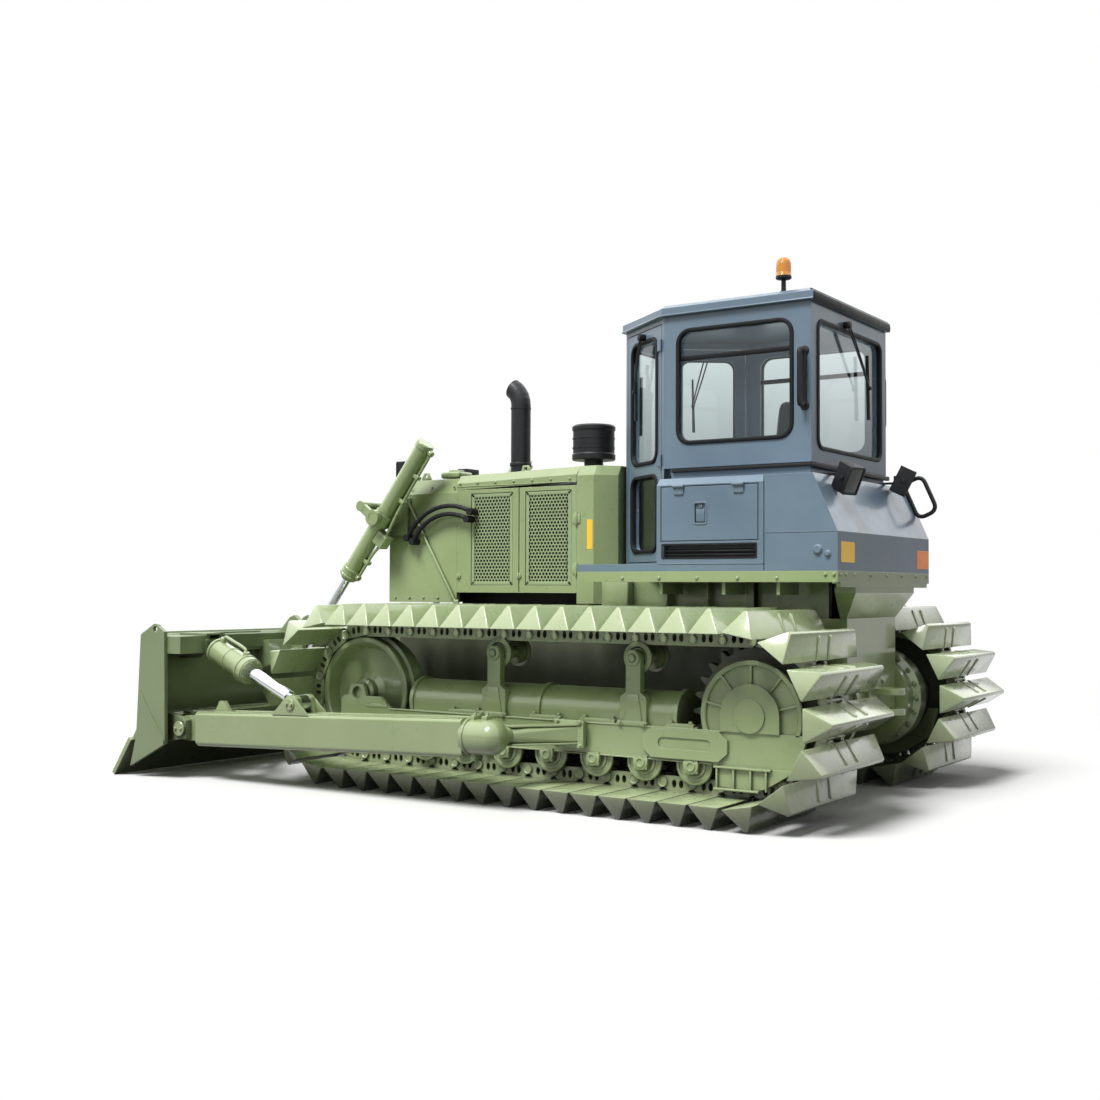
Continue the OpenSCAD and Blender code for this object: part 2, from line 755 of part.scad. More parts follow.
// Bolted side panel with two screens, seen through to the engine bay
module engine_screen(side) {
    x0 = door_rear_x + seam;
    x1 = door_front_x - seam;
    z0 = door_low_z;
    z1 = hood_top_at(x1) - hood_seam - seam;
    y0 = hood_half - panel_t;
    skin = 8;
    bay = [[x0 + 46, x0 + 448], [x0 + 560, x0 + 946]];
    color(green) mirror([0, side > 0 ? 0 : 1, 0]) difference() {
        block([x0, y0, z0], [x1, hood_half, z1]);
        for (b = bay) block([b[0], y0 - 1, z0 + 50], [b[1], hood_half - skin - 14, z1 - 30]);
        for (b = bay) block([b[0], hood_half - 14, z0 + 50], [b[1], hood_half + 1, z1 - 30]);
        block([(bay[0][1] + bay[1][0]) / 2 - 4, hood_half - 8, z0 - 1],
            [(bay[0][1] + bay[1][0]) / 2 + 4, hood_half + 1, z1 + 1]);
    }
}

module exhaust_pipe() {
    r = exhaust_r;
    t = 6;
    z0 = hood_top_at(exhaust_x) - 150;
    bend_z = hood_z + 520;
    color(dark) translate([exhaust_x, stack_y, 0]) difference() {
        exhaust_core(r, z0, bend_z, 60, $fn = 28);
        exhaust_core(r - t, z0 + 40, bend_z, 61, $fn = 28);
    }
}

module exhaust_core(r, z0, bend_z, turn) {
    bend_r = 150;
    translate([0, 0, z0]) cylinder(r = r, h = bend_z - z0 + 2);
    translate([bend_r, 0, bend_z]) rotate([90, 0, 0]) rotate([0, 0, 180 - turn])
        rotate_extrude(angle = turn) translate([bend_r, 0]) circle(r);
}

module air_precleaner() {
    z0 = hood_top_at(stack_x) - 150;
    top = hood_z + 62;
    profile = [
        [0, z0], [stack_r, z0], [stack_r, top], [155, top], [160, top + 8], [160, top + 40], [153,
            top + 50],
        [153, top + 215], [160, top + 222], [160, top + 245], [148, top + 258], [0, top + 258]
    ];
    color(dark) translate([stack_x, stack_y, 0]) rotate_extrude() polygon(profile);
}

// Yokes that hold the lift cylinders' trunnions
module lift_yokes() {
    inner = lift_y - tube_r - 22;
    outer = lift_y + tube_r + 22;
    bridge_x = yoke_arm * cos(lift_tilt);
    bridge_z = yoke_arm * sin(lift_tilt);
    color(green) both_sides() difference() {
        union() {
            translate([trunnion[0], 0, trunnion[1]]) for (y = [[hood_half + 0.2, inner], [outer,
                outer + 40]]) {
                bar_y(0, 0, 62, y[0], y[1]);
                bar_y(bridge_x, bridge_z, 40, y[0], y[1]);
                rotate([0, -lift_tilt, 0]) block([0, y[0] + 2, -33], [yoke_arm, y[1] - 2, 33]);
            }
            bar_y(trunnion[0] + bridge_x, trunnion[1] + bridge_z, 40, inner - 1, outer + 1);
            block([trunnion[0] - 150, hood_half + 0.2, trunnion[1] - 130], [hood_front_x - 2,
                hood_half + 30, trunnion[1] + 150]);
        }
        bar_y(trunnion[0], trunnion[1], 34 + run_gap, inner - 45, outer + 41);
    }
}

// Rear body

module fuel_tank() {
    back = -tank_back;
    slope = 163;
    color(grey) side_plate([
        [back, deck_z], [back, deck_z + tank_face], [back + slope, box_top_z - 4], [back + slope + 60,
            box_top_z - 4],
        [145, box_top_z - 4], [145, deck_z]
    ], -body_half, body_half);
}

// Side box beside the cab, with the step plate ahead of it
module box_side(side, door) {
    x0 = 146;
    x1 = cab_side_x - 45;
    y0 = well_half + 2;
    bevel = 46;
    step_x = cowl_rear_x + 40;
    color(grey) mirror([0, side > 0 ? 0 : 1, 0]) difference() {
        union() {
            translate([x0, 0, 0]) rotate([90, 0, 90]) linear_extrude(x1 - x0) polygon([
                [y0, deck_z + 0.2], [body_half, deck_z + 0.2], [body_half, box_top_z - bevel],
                [body_half - bevel, box_top_z], [y0, box_top_z]
            ]);
            block([x1 - 1, cab_half + 12, deck_z + 0.2], [step_x, body_half, deck_z + 50]);
        }
        if (door) block([box_door_x0 - panel_gap, body_half - panel_t - 2, box_door_z0 - panel_gap],
            [box_door_x1 + panel_gap, body_half + 1, box_door_z1 + panel_gap]);
        if (door) block([box_door_x0 + 20, y0 + 40, box_door_z0 + 20], [box_door_x1 - 20, body_half,
            box_door_z1 - 20]);
        block([x0 + 60, body_half - 40, deck_z + 90], [x1 - 50, body_half + 1, deck_z + 170]);
    }
}

module box_door() {
    latch_x = (box_door_x0 + box_door_x1) / 2 + 60;
    latch_z = (box_door_z0 + box_door_z1) / 2;
    color(grey) {
        difference() {
            block([box_door_x0, body_half - panel_t, box_door_z0], [box_door_x1, body_half, box_door_z1]);
            side_window(latch_x - 40, latch_x + 40, latch_z - 65, latch_z + 65, 12, body_half - 12,
                body_half + 1);
        }
        for (x = [box_door_x0 + 90, box_door_x1 - 170]) {
            translate([x, body_half + hinge_y, box_door_z1 + panel_gap / 2]) rotate([0, 90, 0])
                cylinder(r = hinge_y - seam, h = 80, $fn = 24);
            block([x + 5, body_half - 1, box_door_z1 - 50], [x + 75, body_half + hinge_y - 3,
                box_door_z1 - 6]);
            block([x + 5, body_half + hinge_y - 9, box_door_z1 - 20], [x + 75, body_half + hinge_y - 3,
                box_door_z1 + 3]);
        }
    }
}

// Cab

function cab_plan(inset) = let (d = inset * tan(-nose_angle / 2),
    f = inset * tan((90 + nose_angle) / 2)) [
    [-cab_back + inset, -cab_half + inset], [cab_side_x - d, -cab_half + inset],
    [cab_front_x - inset, -nose_half + f], [cab_front_x - inset, nose_half - f],
    [cab_side_x - d, cab_half - inset], [-cab_back + inset, cab_half - inset]
];

// Puts children on the left slanted corner: x along the wall from its rear edge, y outward, z up
module on_nose() {
    translate([cab_side_x, cab_half, 0]) rotate([0, 0, nose_angle]) children();
}

module cab_sides() {
    color(grey) for (side = [-1, 1]) translate([0, side > 0 ? cab_half : -cab_half + wall_t, 0])
        rotate([90, 0, 0])
        linear_extrude(wall_t) difference() {
            translate([-cab_back, cab_z]) square([cab_side - seam, cab_h]);
            translate([(side_win[0] + side_win[1]) / 2, (side_win[2] + side_win[3]) / 2])
                round_rect(side_win[1] - side_win[0], side_win[3] - side_win[2], 80);
        }
}

module cab_rear_wall() {
    half = cab_half - wall_t - seam;
    color(grey) translate([-cab_back, 0, 0]) rotate([90, 0, 90]) linear_extrude(wall_t) difference() {
        translate([-half, cab_z]) square([2 * half, cab_h]);
        translate([0, (rear_win[1] + rear_win[2]) / 2]) round_rect(2 * rear_win[0],
            rear_win[2] - rear_win[1], 60);
    }
}

// Windscreen wall and the two slanted door frames, bent from one sheet
module cab_front() {
    pane = wall_t + 8;
    color(grey) difference() {
        translate([0, 0, deck_z + 0.3]) linear_extrude(roof_z - deck_z - 0.3) polygon([
            [cab_side_x, cab_half], [cab_front_x, nose_half], [cab_front_x, -nose_half], [cab_side_x,
                -cab_half],
            [cab_side_x, -cab_half + wall_t], [cab_side_x - nose_in, -cab_half + wall_t],
            [cab_front_x - wall_t, -nose_half + nose_turn], [cab_front_x - wall_t, nose_half - nose_turn],
            [cab_side_x - nose_in, cab_half - wall_t], [cab_side_x, cab_half - wall_t]
        ]);
        end_window(-front_win[0], front_win[0], front_win[1], front_win[2], 50, cab_front_x - pane,
            cab_front_x + 4);
        both_sides() on_nose() block([door_x0 - panel_gap, -wall_t - 30, door_z0 - panel_gap],
            [door_x1 + panel_gap, 4, door_z1 + panel_gap]);
    }
}

module cab_floor() {
    color(dark) translate([0, 0, deck_z + 0.3]) linear_extrude(floor_z - deck_z - 0.3) polygon([
        [148, -well_half], [cab_side_x - 30, -well_half], [cab_side_x - nose_in - 20,
            -cab_half + wall_t + 10],
        [cab_front_x - wall_t - 12, -nose_half + nose_turn + 12], [cab_front_x - wall_t - 12,
            nose_half - nose_turn - 12],
        [cab_side_x - nose_in - 20, cab_half - wall_t - 10], [cab_side_x - 30, well_half], [148,
            well_half]
    ]);
}

// Ledge between the boxes and the cab walls
module cab_sill() {
    out = cab_half - 14;
    back = -cab_back + 12;
    color(grey) translate([0, 0, box_top_z + 0.2]) linear_extrude(cab_z - box_top_z - 0.4) polygon([
        [back, -out], [cab_side_x - 50, -out], [cab_side_x - 50, -well_half], [back + 130, -well_half],
        [back + 130, well_half], [cab_side_x - 50, well_half], [cab_side_x - 50, out], [back, out]
    ]);
}

module cab_door(side) {
    color(grey) mirror([0, side > 0 ? 0 : 1, 0]) on_nose() {
        difference() {
            block([door_x0, -wall_t, door_z0], [door_x1, 0, door_z1]);
            side_window(door_x0 + 75, door_x1 - 75, cab_z + 70, door_z1 - 80, 70, -wall_t - 1, 1);
            side_window(door_x0 + 75, door_x1 - 75, door_z0 + 80, cab_z - 40, 60, -wall_t - 1, 1);
        }
        for (z = [door_z0 + 140, cab_z + 20, door_z1 - 180]) {
            translate([hinge_x, hinge_y, z]) cylinder(r = hinge_y - seam, h = 80, $fn = 24);
            block([hinge_x, hinge_y - 9, z + 5], [hinge_x + 50, hinge_y - 2, z + 75]);
            block([door_x0 + 8, -1, z + 5], [hinge_x + 50, hinge_y - 4, z + 75]);
        }
    }
}

module door_glass(side) {
    y = -wall_t / 2 - glass_t / 2;
    fit = run_gap;
    color("lightblue") mirror([0, side > 0 ? 0 : 1, 0]) on_nose() {
        side_window(door_x0 + 75 + fit, door_x1 - 75 - fit, cab_z + 70 + fit, door_z1 - 80 - fit, 69, y,
            y + glass_t);
        side_window(door_x0 + 75 + fit, door_x1 - 75 - fit, door_z0 + 80 + fit, cab_z - 40 - fit, 59, y,
            y + glass_t);
    }
}

module cab_glass() {
    fit = run_gap;
    y = cab_half - wall_t / 2;
    rear_x = -cab_back + wall_t / 2 - glass_t / 2;
    front_x = cab_front_x - wall_t / 2 - glass_t / 2;
    color("lightblue") {
        for (side = [-1, 1]) side_window(side_win[0] + fit, side_win[1] - fit, side_win[2] + fit,
            side_win[3] - fit, 79,
            side * y - glass_t / 2, side * y + glass_t / 2);
        end_window(-rear_win[0] + fit, rear_win[0] - fit, rear_win[1] + fit, rear_win[2] - fit, 59,
            rear_x, rear_x + glass_t);
        end_window(-front_win[0] + fit, front_win[0] - fit, front_win[1] + fit, front_win[2] - fit, 49,
            front_x, front_x + glass_t);
    }
}

module cab_roof() {
    over = -24;
    color(grey) hull() {
        translate([0, 0, roof_z]) linear_extrude(roof_t - 22) polygon(cab_plan(over));
        translate([0, 0, roof_z]) linear_extrude(roof_t) polygon(cab_plan(over + 30));
    }
}

module seat() {
    x = 425;
    z = floor_z;
    color(dark) {
        block([x - 180, -220, z + 0.3], [x + 230, 220, z + 380]);
        block([x - 200, -250, z + 379], [x + 290, 250, z + 500]);
        hull() {
            block([x - 200, -245, z + 450], [x - 60, 245, z + 520]);
            block([x - 270, -220, z + 1080], [x - 170, 220, z + 1130]);
        }
        for (side = [-1, 1]) block([x - 170, side > 0 ? 260 : -330, z + 379], [x + 220, side > 0 ? 330 :
            -260, z + 640]);
        block([x - 160, -329, z + 379], [x - 120, 329, z + 420]);
    }
}

module controls() {
    z = floor_z;
    color(dark) {
        block([cab_front_x - wall_t - 170, -215, z + 0.3], [cab_front_x - wall_t - 0.5, 215, z + 640]);
        for (y = [-120, 120]) translate([cab_front_x - wall_t - 260, y, z + 0.3]) {
            block([-10, -10, 0], [10, 10, 560]);
            translate([0, 0, 580]) sphere(r = 32);
        }
        for (y = [-60, 60]) block([cab_front_x - wall_t - 330, y - 40, z + 0.3],
            [cab_front_x - wall_t - 290, y + 40, z + 160]);
    }
}

module beacon() {
    color(dark) translate([133, 564, roof_z + roof_t + 0.2]) rotate_extrude() polygon([
        [0, 0], [30, 0], [30, 12], [13, 18], [13, 92], [44, 98], [44, 112], [48, 118], [48, 198], [42,
            218], [28, 232],
        [0, 238]
    ]);
}

module work_lamps() {
    color(dark) {
        for (y = [-545, 545]) translate([-cab_back, y, box_top_z]) {
            block([-130, -80, 2], [-62, 80, 116]);
            block([-63, -14, 30], [12 - seam, 14, 60]);
        }
        for (y = [-390, 390]) translate([hood_front_x - 120, y, hood_top_at(hood_front_x) + seam]) {
            block([-30, -80, 30], [60, 80, 150]);
            block([-5, -15, 0], [25, 15, 31]);
        }
    }
}

module handle(len, reach, r) {
    for (s = [-1, 1]) translate([0, 0, s * len / 2]) rotate([-90, 0, 0]) cylinder(r = r, h = reach);
    translate([0, reach, -len / 2]) cylinder(r = r, h = len);
    for (s = [-1, 1]) translate([0, reach, s * len / 2]) sphere(r = r);
}

module grab_handles() {
    rise = atan2(box_top_z - 4 - deck_z - tank_face, 163);
    color(dark) {
        both_sides() translate([-52, cab_half + 0.2, cab_z + 355]) handle(350, 60, 15);
        translate([-tank_back + 70, -body_half + 45, deck_z + tank_face + 70 * tan(rise)])
            rotate([0, 90 - rise, 0]) rotate([0, 0, 90]) translate([0, seam, 0]) handle(220, 70, 13);
    }
}

// Blade and push frame

// Ball-joint brackets between track frame and arm
module arm_trunnions() {
    face = track_y + beam_w / 2 + 22;
    color(green) both_sides() {
        block([arm_pivot_x - 350, track_y + beam_w / 2 + seam, arm_pivot_z - 80], [arm_pivot_x - 150, face + 30,
            arm_pivot_z + 80]);
        hull() {
            block([arm_pivot_x - 330, face + 29, arm_pivot_z - 45], [arm_pivot_x - 180, face + 31,
                arm_pivot_z + 45]);
            bar_y(arm_pivot_x, arm_pivot_z, 55, arm_y - 150, arm_y - 149);
        }
        bar_y(arm_pivot_x, arm_pivot_z, 55, arm_y - 150, arm_y - 60);
        translate([arm_pivot_x, arm_y, arm_pivot_z]) sphere(r = ball_r);
    }
}

module arm_line() {
    translate([arm_pivot_x, 0, arm_pivot_z]) rotate([0, -arm_slope, 0]) children();
}

module push_arm(side) {
    near = 170;
    far = arm_len - 130;
    foot = [tilt_foot[0], tilt_foot[2]];
    socket_r = 108;
    color(green) mirror([0, side > 0 ? 0 : 1, 0]) {
        translate([0, arm_y, 0]) arm_line() {
            translate([near, 0, 0]) rotate([0, 90, 0]) linear_extrude(far - near) round_rect(arm_h,
                arm_w, 26);
            difference() {
                translate([-20, 0, 0]) rotate([0, 90, 0]) cylinder(r = socket_r, h = near + 21);
                translate([-60, 0, 0]) rotate([0, 90, 0]) cylinder(r = ball_r + 5, h = 60 + ball_r + 6);
                block([-60, -socket_r - 5, -62], [62, 0, 62]);
            }
            difference() {
                union() {
                    block([far - 2, -60, -90], [arm_len, 60, 90]);
                    bar_y(arm_len, 0, 90, -60, 60);
                }
                bar_y(arm_len, 0, 40 + run_gap, -61, 61);
            }
        }
        for (y = [arm_y - 84, arm_y + 44]) side_plate([
            [foot[0] - 90, foot[1] - 100], [foot[0] + 90, foot[1] - 104], [foot[0] + 55, foot[1] + 40],
            [foot[0] + 20, foot[1] + 62], [foot[0] - 20, foot[1] + 62], [foot[0] - 55, foot[1] + 40]
        ], y, y + 40);
        bar_y(foot[0], foot[1], 30, arm_y - 98, arm_y + 98);
        translate([0, arm_y, 0]) arm_line() side_plate([
            [far - 230, arm_h / 2 - 6], [far - 80, arm_h / 2 - 6], [far - 130, arm_h / 2 + 74],
                [far - 170, arm_h / 2 + 74]
        ], -52, -18);
        arm_brace();
    }
}

module blade() {
    color(green) {
        difference() {
            intersection() {
                bar_y(blade_c[0], blade_c[1], blade_r + blade_plate, -blade_in - 1, blade_in + 1);
                block([back_x - 100, -blade_in - 1, blade_foot[1] - 60], [blade_foot[0] + 20,
                    blade_in + 1, blade_h]);
            }
            bar_y(blade_c[0], blade_c[1], blade_r, -blade_in - 2, blade_in + 2);
            // the cutting edge takes over at the foot
            side_plate([
                blade_foot - foot_n * 60 - foot_t * seam, blade_foot - foot_n * 60 + foot_t * 400,
                blade_foot + foot_n * 120 + foot_t * 400, blade_foot + foot_n * 120 - foot_t * seam
            ], -blade_in - 2, blade_in + 2);
        }
        difference() {
            union() {
                back_beam(blade_h - 150, blade_h - 12, 70);
                back_beam(260, 470, 120);
            }
            bar_y(blade_c[0], blade_c[1], blade_r + blade_plate / 2, -blade_in - 2, blade_in + 2);
        }
        both_sides() {
            blade_end();
            arm_lugs();
            lift_cheeks();
            tilt_bracket();
        }
    }
}

// Beam along the back, between two heights
module back_beam(z0, z1, depth) {
    side_plate([
        [back_x - depth, z0 + 20], [back_x - depth + 20, z0], [back_x + 130, z0], [back_x + 130, z1],
        [back_x - depth + 20, z1], [back_x - depth, z1 - 20]
    ], -blade_in - 1, blade_in + 1);
}

// Clevis for a push arm's front eye, with its pin
module arm_lugs() {
    x = blade_pin_x;
    for (y = [arm_y - 112, arm_y + 64]) side_plate([
        [x - 50, arm_pin_z - 70], [back_x - 100, arm_pin_z - 100], [back_x - 100, arm_pin_z + 110],
        [x, arm_pin_z + 80], [x - 50, arm_pin_z + 60]
    ], y, y + 48);
    bar_y(x, arm_pin_z, 40, arm_y - 130, arm_y + 130);
}

// Cheeks for a lift cylinder's rod end
module lift_cheeks() {
    x = lift_pin[0];
    z = lift_pin[1];
    for (y = [lift_y - 98, lift_y + 58]) {
        side_plate([
            [x - 80, z - 70], [x - 20, z - 130], [back_x + 15, z - 150], [back_x + 20, blade_h - 60],
            [x + 60, blade_h + 90], [x + 10, blade_h + 110], [x - 50, blade_h + 70], [x - 90, z + 40]
        ], y, y + 40);
        bar_y(x, z, 58, y > lift_y ? y + 39 : y - 14, y > lift_y ? y + 54 : y + 1);
    }
    side_plate([[x - 10, blade_h - 260], [back_x + 16, blade_h - 330], [back_x + 20, blade_h - 100],
        [x + 60, blade_h - 80]],
               lift_y + 97, lift_y + 330);
}

// Upper bracket for the tilt cylinder or the brace
module tilt_bracket() {
    x = tilt_head[0];
    y = tilt_head[1];
    z = tilt_head[2];
    for (s = [y - 86, y + 46]) side_plate([
        [x - 70, z - 40], [x - 20, z - 90], [back_x - 50, z - 100], [back_x - 50, z + 60], [x - 20,
            z + 75], [x - 70, z + 40]
    ], s, s + 40);
    bar_y(x, z, 30, y - 100, y + 100);
    block([x - 60, y + 85, z - 55], [back_x - 40, blade_in + 1, z + 70]);
    block([x - 75, y - 86, z + 74], [back_x - 40, y + 87, z + 88]);
    for (s = [y - 86, y + 46]) block([x - 60, s, z + 30], [back_x - 45, s + 40, z + 75]);
}

// Diagonal brace from a push arm to the back of the blade
module arm_brace() {
    near = [blade_pin_x - 290, arm_y - arm_w / 2 - 55, arm_pin_z + 20];
    far = [back_x - 105, arm_y - 850, arm_pin_z - 10];
    difference() {
        between(near, far) cylinder(r = 36, h = norm(far - near), $fn = 32);
        block([back_x - 120 - seam, far[1] - 100, far[2] - 100], [back_x, far[1] + 100, far[2] + 100]);
    }
    side_plate([
        [near[0] - 75, near[2] - 45], [near[0] + 75, near[2] - 45], [near[0] + 60, near[2] + 45],
            [near[0] - 60, near[2] + 45]
    ], near[1] - 22, arm_y - arm_w / 2 + 5);
}

// End plate with a lifting eye and a slanted rib
module blade_end() {
    x = blade_pin_x;
    toe_corner = blade_foot + foot_n * (edge_t + 90) + foot_t * 170;
    rib = 12;
    translate([0, blade_w / 2 - rib, 0]) rotate([90, 0, 0]) linear_extrude(end_plate - rib) difference() {
        union() {
            polygon([
                [x + 74, 259], [x + 92, blade_h + 7], eye_at + [-34, 21], eye_at + [22, 34], [x + 347,
                    blade_h - 17],
                [x + 384, blade_foot[1] + 19], toe_corner
            ]);
            translate(eye_at) circle(eye_rim);
        }
        translate(eye_at) circle(eye_r);
    }
    side_plate([[x + 350, 616], [x + 350, 640], [x + 76, 285], [x + 75, 259]], blade_w / 2 - rib - 1,
        blade_w / 2);
}

module cutting_edge() {
    color(green) side_plate([
        blade_foot - foot_n * 0.5, toe, toe + foot_n * edge_t, blade_foot + foot_n * edge_t
    ], -blade_w / 2, blade_w / 2);
}

// Puts children on the line from a to b, which is their z axis
module between(a, b) {
    d = b - a;
    translate(a) rotate([0, acos(d[2] / norm(d)), atan2(d[1], d[0])]) children();
}

// Eye about a pin along y, with the neck that joins it to a rod or barrel
module tilt_eye(at, toward) {
    bar_y(at[0], at[2], 62, at[1] - 42, at[1] + 42);
    between(at, toward) cylinder(r = 32, h = 125);
}

module tilt_bore(at) {
    bar_y(at[0], at[2], 30 + run_gap, at[1] - 60, at[1] + 60);
}

// Tilt cylinder from the blade's upper bracket to the lug on the left arm
module tilt_barrel() {
    color(green) difference() {
        union() {
            tilt_eye(tilt_head, tilt_foot);
            between(tilt_head, tilt_foot) {
                translate([0, 0, 120]) cylinder(r = tilt_r, h = tilt_len - 120);
                translate([0, 0, tilt_len - 70]) cylinder(r = tilt_r + 12, h = 60);
            }
        }
        tilt_bore(tilt_head);
        between(tilt_head, tilt_foot) translate([0, 0, tilt_len - 300])
            cylinder(r = tilt_rod_r + run_gap, h = 301);
    }
}

module tilt_rod() {
    far = norm(tilt_foot - tilt_head);
    color(chrome) difference() {
        union() {
            tilt_eye(tilt_foot, tilt_head);
            between(tilt_head, tilt_foot) translate([0, 0, tilt_len - 290]) cylinder(r = tilt_rod_r,
                h = far - tilt_len + 170);
        }
        tilt_bore(tilt_foot);
    }
}

// Screw brace that takes the tilt cylinder's place on the right arm
module pitch_brace() {
    far = norm(tilt_foot - tilt_head);
    color(green) mirror([0, 1, 0]) difference() {
        union() {
            tilt_eye(tilt_foot, tilt_head);
            tilt_eye(tilt_head, tilt_foot);
            between(tilt_head, tilt_foot) {
                translate([0, 0, 120]) cylinder(r = 44, h = far - 240);
                translate([0, 0, 180]) cylinder(r = 66, h = far - 470);
                translate([0, 0, far - 340]) cylinder(r = 80, h = 60, $fn = 6);
            }
        }
        tilt_bore(tilt_foot);
        tilt_bore(tilt_head);
    }
}

// Puts children on the lift cylinder's line: trunnion at the origin, rod end down -z
module lift_line(side) {
    translate([trunnion[0], side * lift_y, trunnion[1]]) rotate([0, -lift_tilt, 0]) children();
}

module lift_tube(side) {
    bore_r = tube_r - 12;
    color(green) lift_line(side) difference() {
        union() {
            translate([0, 0, -tube_low]) cylinder(r = tube_r, h = tube_top + tube_low);
            translate([0, 0, -50]) cylinder(r = tube_r + 10, h = 100);
            bar_y(0, 0, 34, -tube_r - 60, tube_r + 60);
            translate([0, 0, -tube_low]) cylinder(r = tube_r + 10, h = 70);
        }
        translate([0, 0, -tube_low + 60]) cylinder(r = bore_r, h = tube_top + tube_low - 80);
        translate([0, 0, -tube_low - 1]) cylinder(r = rod_r + run_gap, h = 100);
    }
}

module lift_rod(side) {
    color(chrome) lift_line(side) {
        translate([0, 0, -lift_len + 40]) cylinder(r = rod_r, h = lift_len - 40 + rod_in);
        translate([0, 0, -lift_len]) bar_y(0, 0, 62, -45, 45);
    }
}

// Two pressure hoses on each side, arching from the yoke to the engine bay
module hoses() {
    r = 17;
    bend = 458;
    apart = 62;
    half_turn = 44;
    lean = 17;
    reach = 62;
    steps = 10;
    y = hood_half + reach;
    start = [trunnion[0] - 178, trunnion[1] - 152];
    centre = start - bend * [sin(half_turn + lean), cos(half_turn + lean)];
    color(dark) both_sides() for (i = [0, 1]) {
        route = [for (k = [0 : steps]) let (a = half_turn + lean - 2 * half_turn * k / steps)
            centre + (bend - i * apart) * [sin(a), cos(a)]];
        for (k = [0 : steps - 1]) hull() for (p = [route[k], route[k + 1]])
            translate([p[0], y, p[1]]) sphere(r = r, $fn = 12);
        for (p = [route[0], route[steps]]) bar_y(p[0], p[1], r + 9, hood_half + 0.2, y + r + 6, $fn = 24);
    }
}

place() track(1);  // track_left
place() track(-1);  // track_right
place() track_frame();  // track_frame_left
place() mirror([0, 1, 0]) track_frame();  // track_frame_right
place() sprockets();
place() idlers();
place() rollers();
place() final_drives();
place() cross_axles();
place() frame_rails();
place() belly_guard();
place() rear_case();
place() deck();
place() engine();
place() radiator_guard();
place() radiator_grille();
place() hood_top();
place() cowl();
place() engine_screen(1);  // engine_screen_left
place() engine_screen(-1);  // engine_screen_right
place() exhaust_pipe();
place() air_precleaner();
place() lift_yokes();
place() hoses();
place() fuel_tank();
place() box_side(1, true);  // box_left
place() box_side(-1, false);  // box_right
place() box_door();
place() cab_sides();
place() cab_rear_wall();
place() cab_front();
place() cab_floor();
place() cab_sill();
place() cab_roof();
place() cab_glass();
place() cab_door(1);  // cab_door_left
place() cab_door(-1);  // cab_door_right
place() door_glass(1);  // door_glass_left
place() door_glass(-1);  // door_glass_right
place() seat();
place() controls();
place() beacon();
place() work_lamps();
place() grab_handles();
place() arm_trunnions();
place() blade();
place() cutting_edge();
place() push_arm(1);  // push_arm_left
place() push_arm(-1);  // push_arm_right
place() tilt_barrel();
place() tilt_rod();
place() pitch_brace();
place() lift_tube(1);  // lift_tube_left
place() lift_tube(-1);  // lift_tube_right
place() lift_rod(1);  // lift_rod_left
place() lift_rod(-1);  // lift_rod_right
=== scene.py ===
import bpy
import bmesh
import math
from mathutils import Matrix, Vector


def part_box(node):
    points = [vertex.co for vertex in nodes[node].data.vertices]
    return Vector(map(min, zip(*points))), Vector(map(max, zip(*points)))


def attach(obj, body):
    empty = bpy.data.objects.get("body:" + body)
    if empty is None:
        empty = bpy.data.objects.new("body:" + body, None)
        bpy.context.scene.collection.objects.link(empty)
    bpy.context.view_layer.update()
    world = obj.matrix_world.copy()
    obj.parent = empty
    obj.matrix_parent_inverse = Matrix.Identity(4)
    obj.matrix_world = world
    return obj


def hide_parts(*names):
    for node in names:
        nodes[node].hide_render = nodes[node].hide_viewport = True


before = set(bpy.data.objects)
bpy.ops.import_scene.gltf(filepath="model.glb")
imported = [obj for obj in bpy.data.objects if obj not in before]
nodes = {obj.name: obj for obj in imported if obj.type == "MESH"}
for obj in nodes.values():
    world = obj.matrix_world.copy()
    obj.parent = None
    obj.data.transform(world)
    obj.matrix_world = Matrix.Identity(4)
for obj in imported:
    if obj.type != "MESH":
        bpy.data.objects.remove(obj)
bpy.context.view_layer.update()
print("frame loaded:", len(nodes), "nodes")

# Places are given in mm as on the drawing: x forward from the rear sprocket's axle, y left, z up from the ground
wheelLow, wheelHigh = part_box("sprockets")
axleX = (wheelLow[0] + wheelHigh[0]) / 2
axleZ = (wheelLow[2] + wheelHigh[2]) / 2 * 1000
mm = 0.001
axis = 0.01  # radius that stands for the axis in a turned outline, mm
sides = (("left", 1), ("right", -1))


def at(x, y, z):
    return Vector((axleX + x * mm, y * mm, z * mm))


def moved(x, y, z):
    return Matrix.Translation(at(x, y, z))


def turned(degrees, line):
    return Matrix.Rotation(math.radians(degrees), 4, line)


# Turns the upright line to face a direction
def facing(direction):
    return Vector(direction).to_track_quat("Z", "Y").to_matrix().to_4x4()


# Camera, light and floor

view = {
    "place": (-5.6596, 8.7112, 1.3821),  # metres
    "yaw": -55.909,
    "pitch": 1.619,
    "roll": 0.233,
    "lens": 45.0,
}


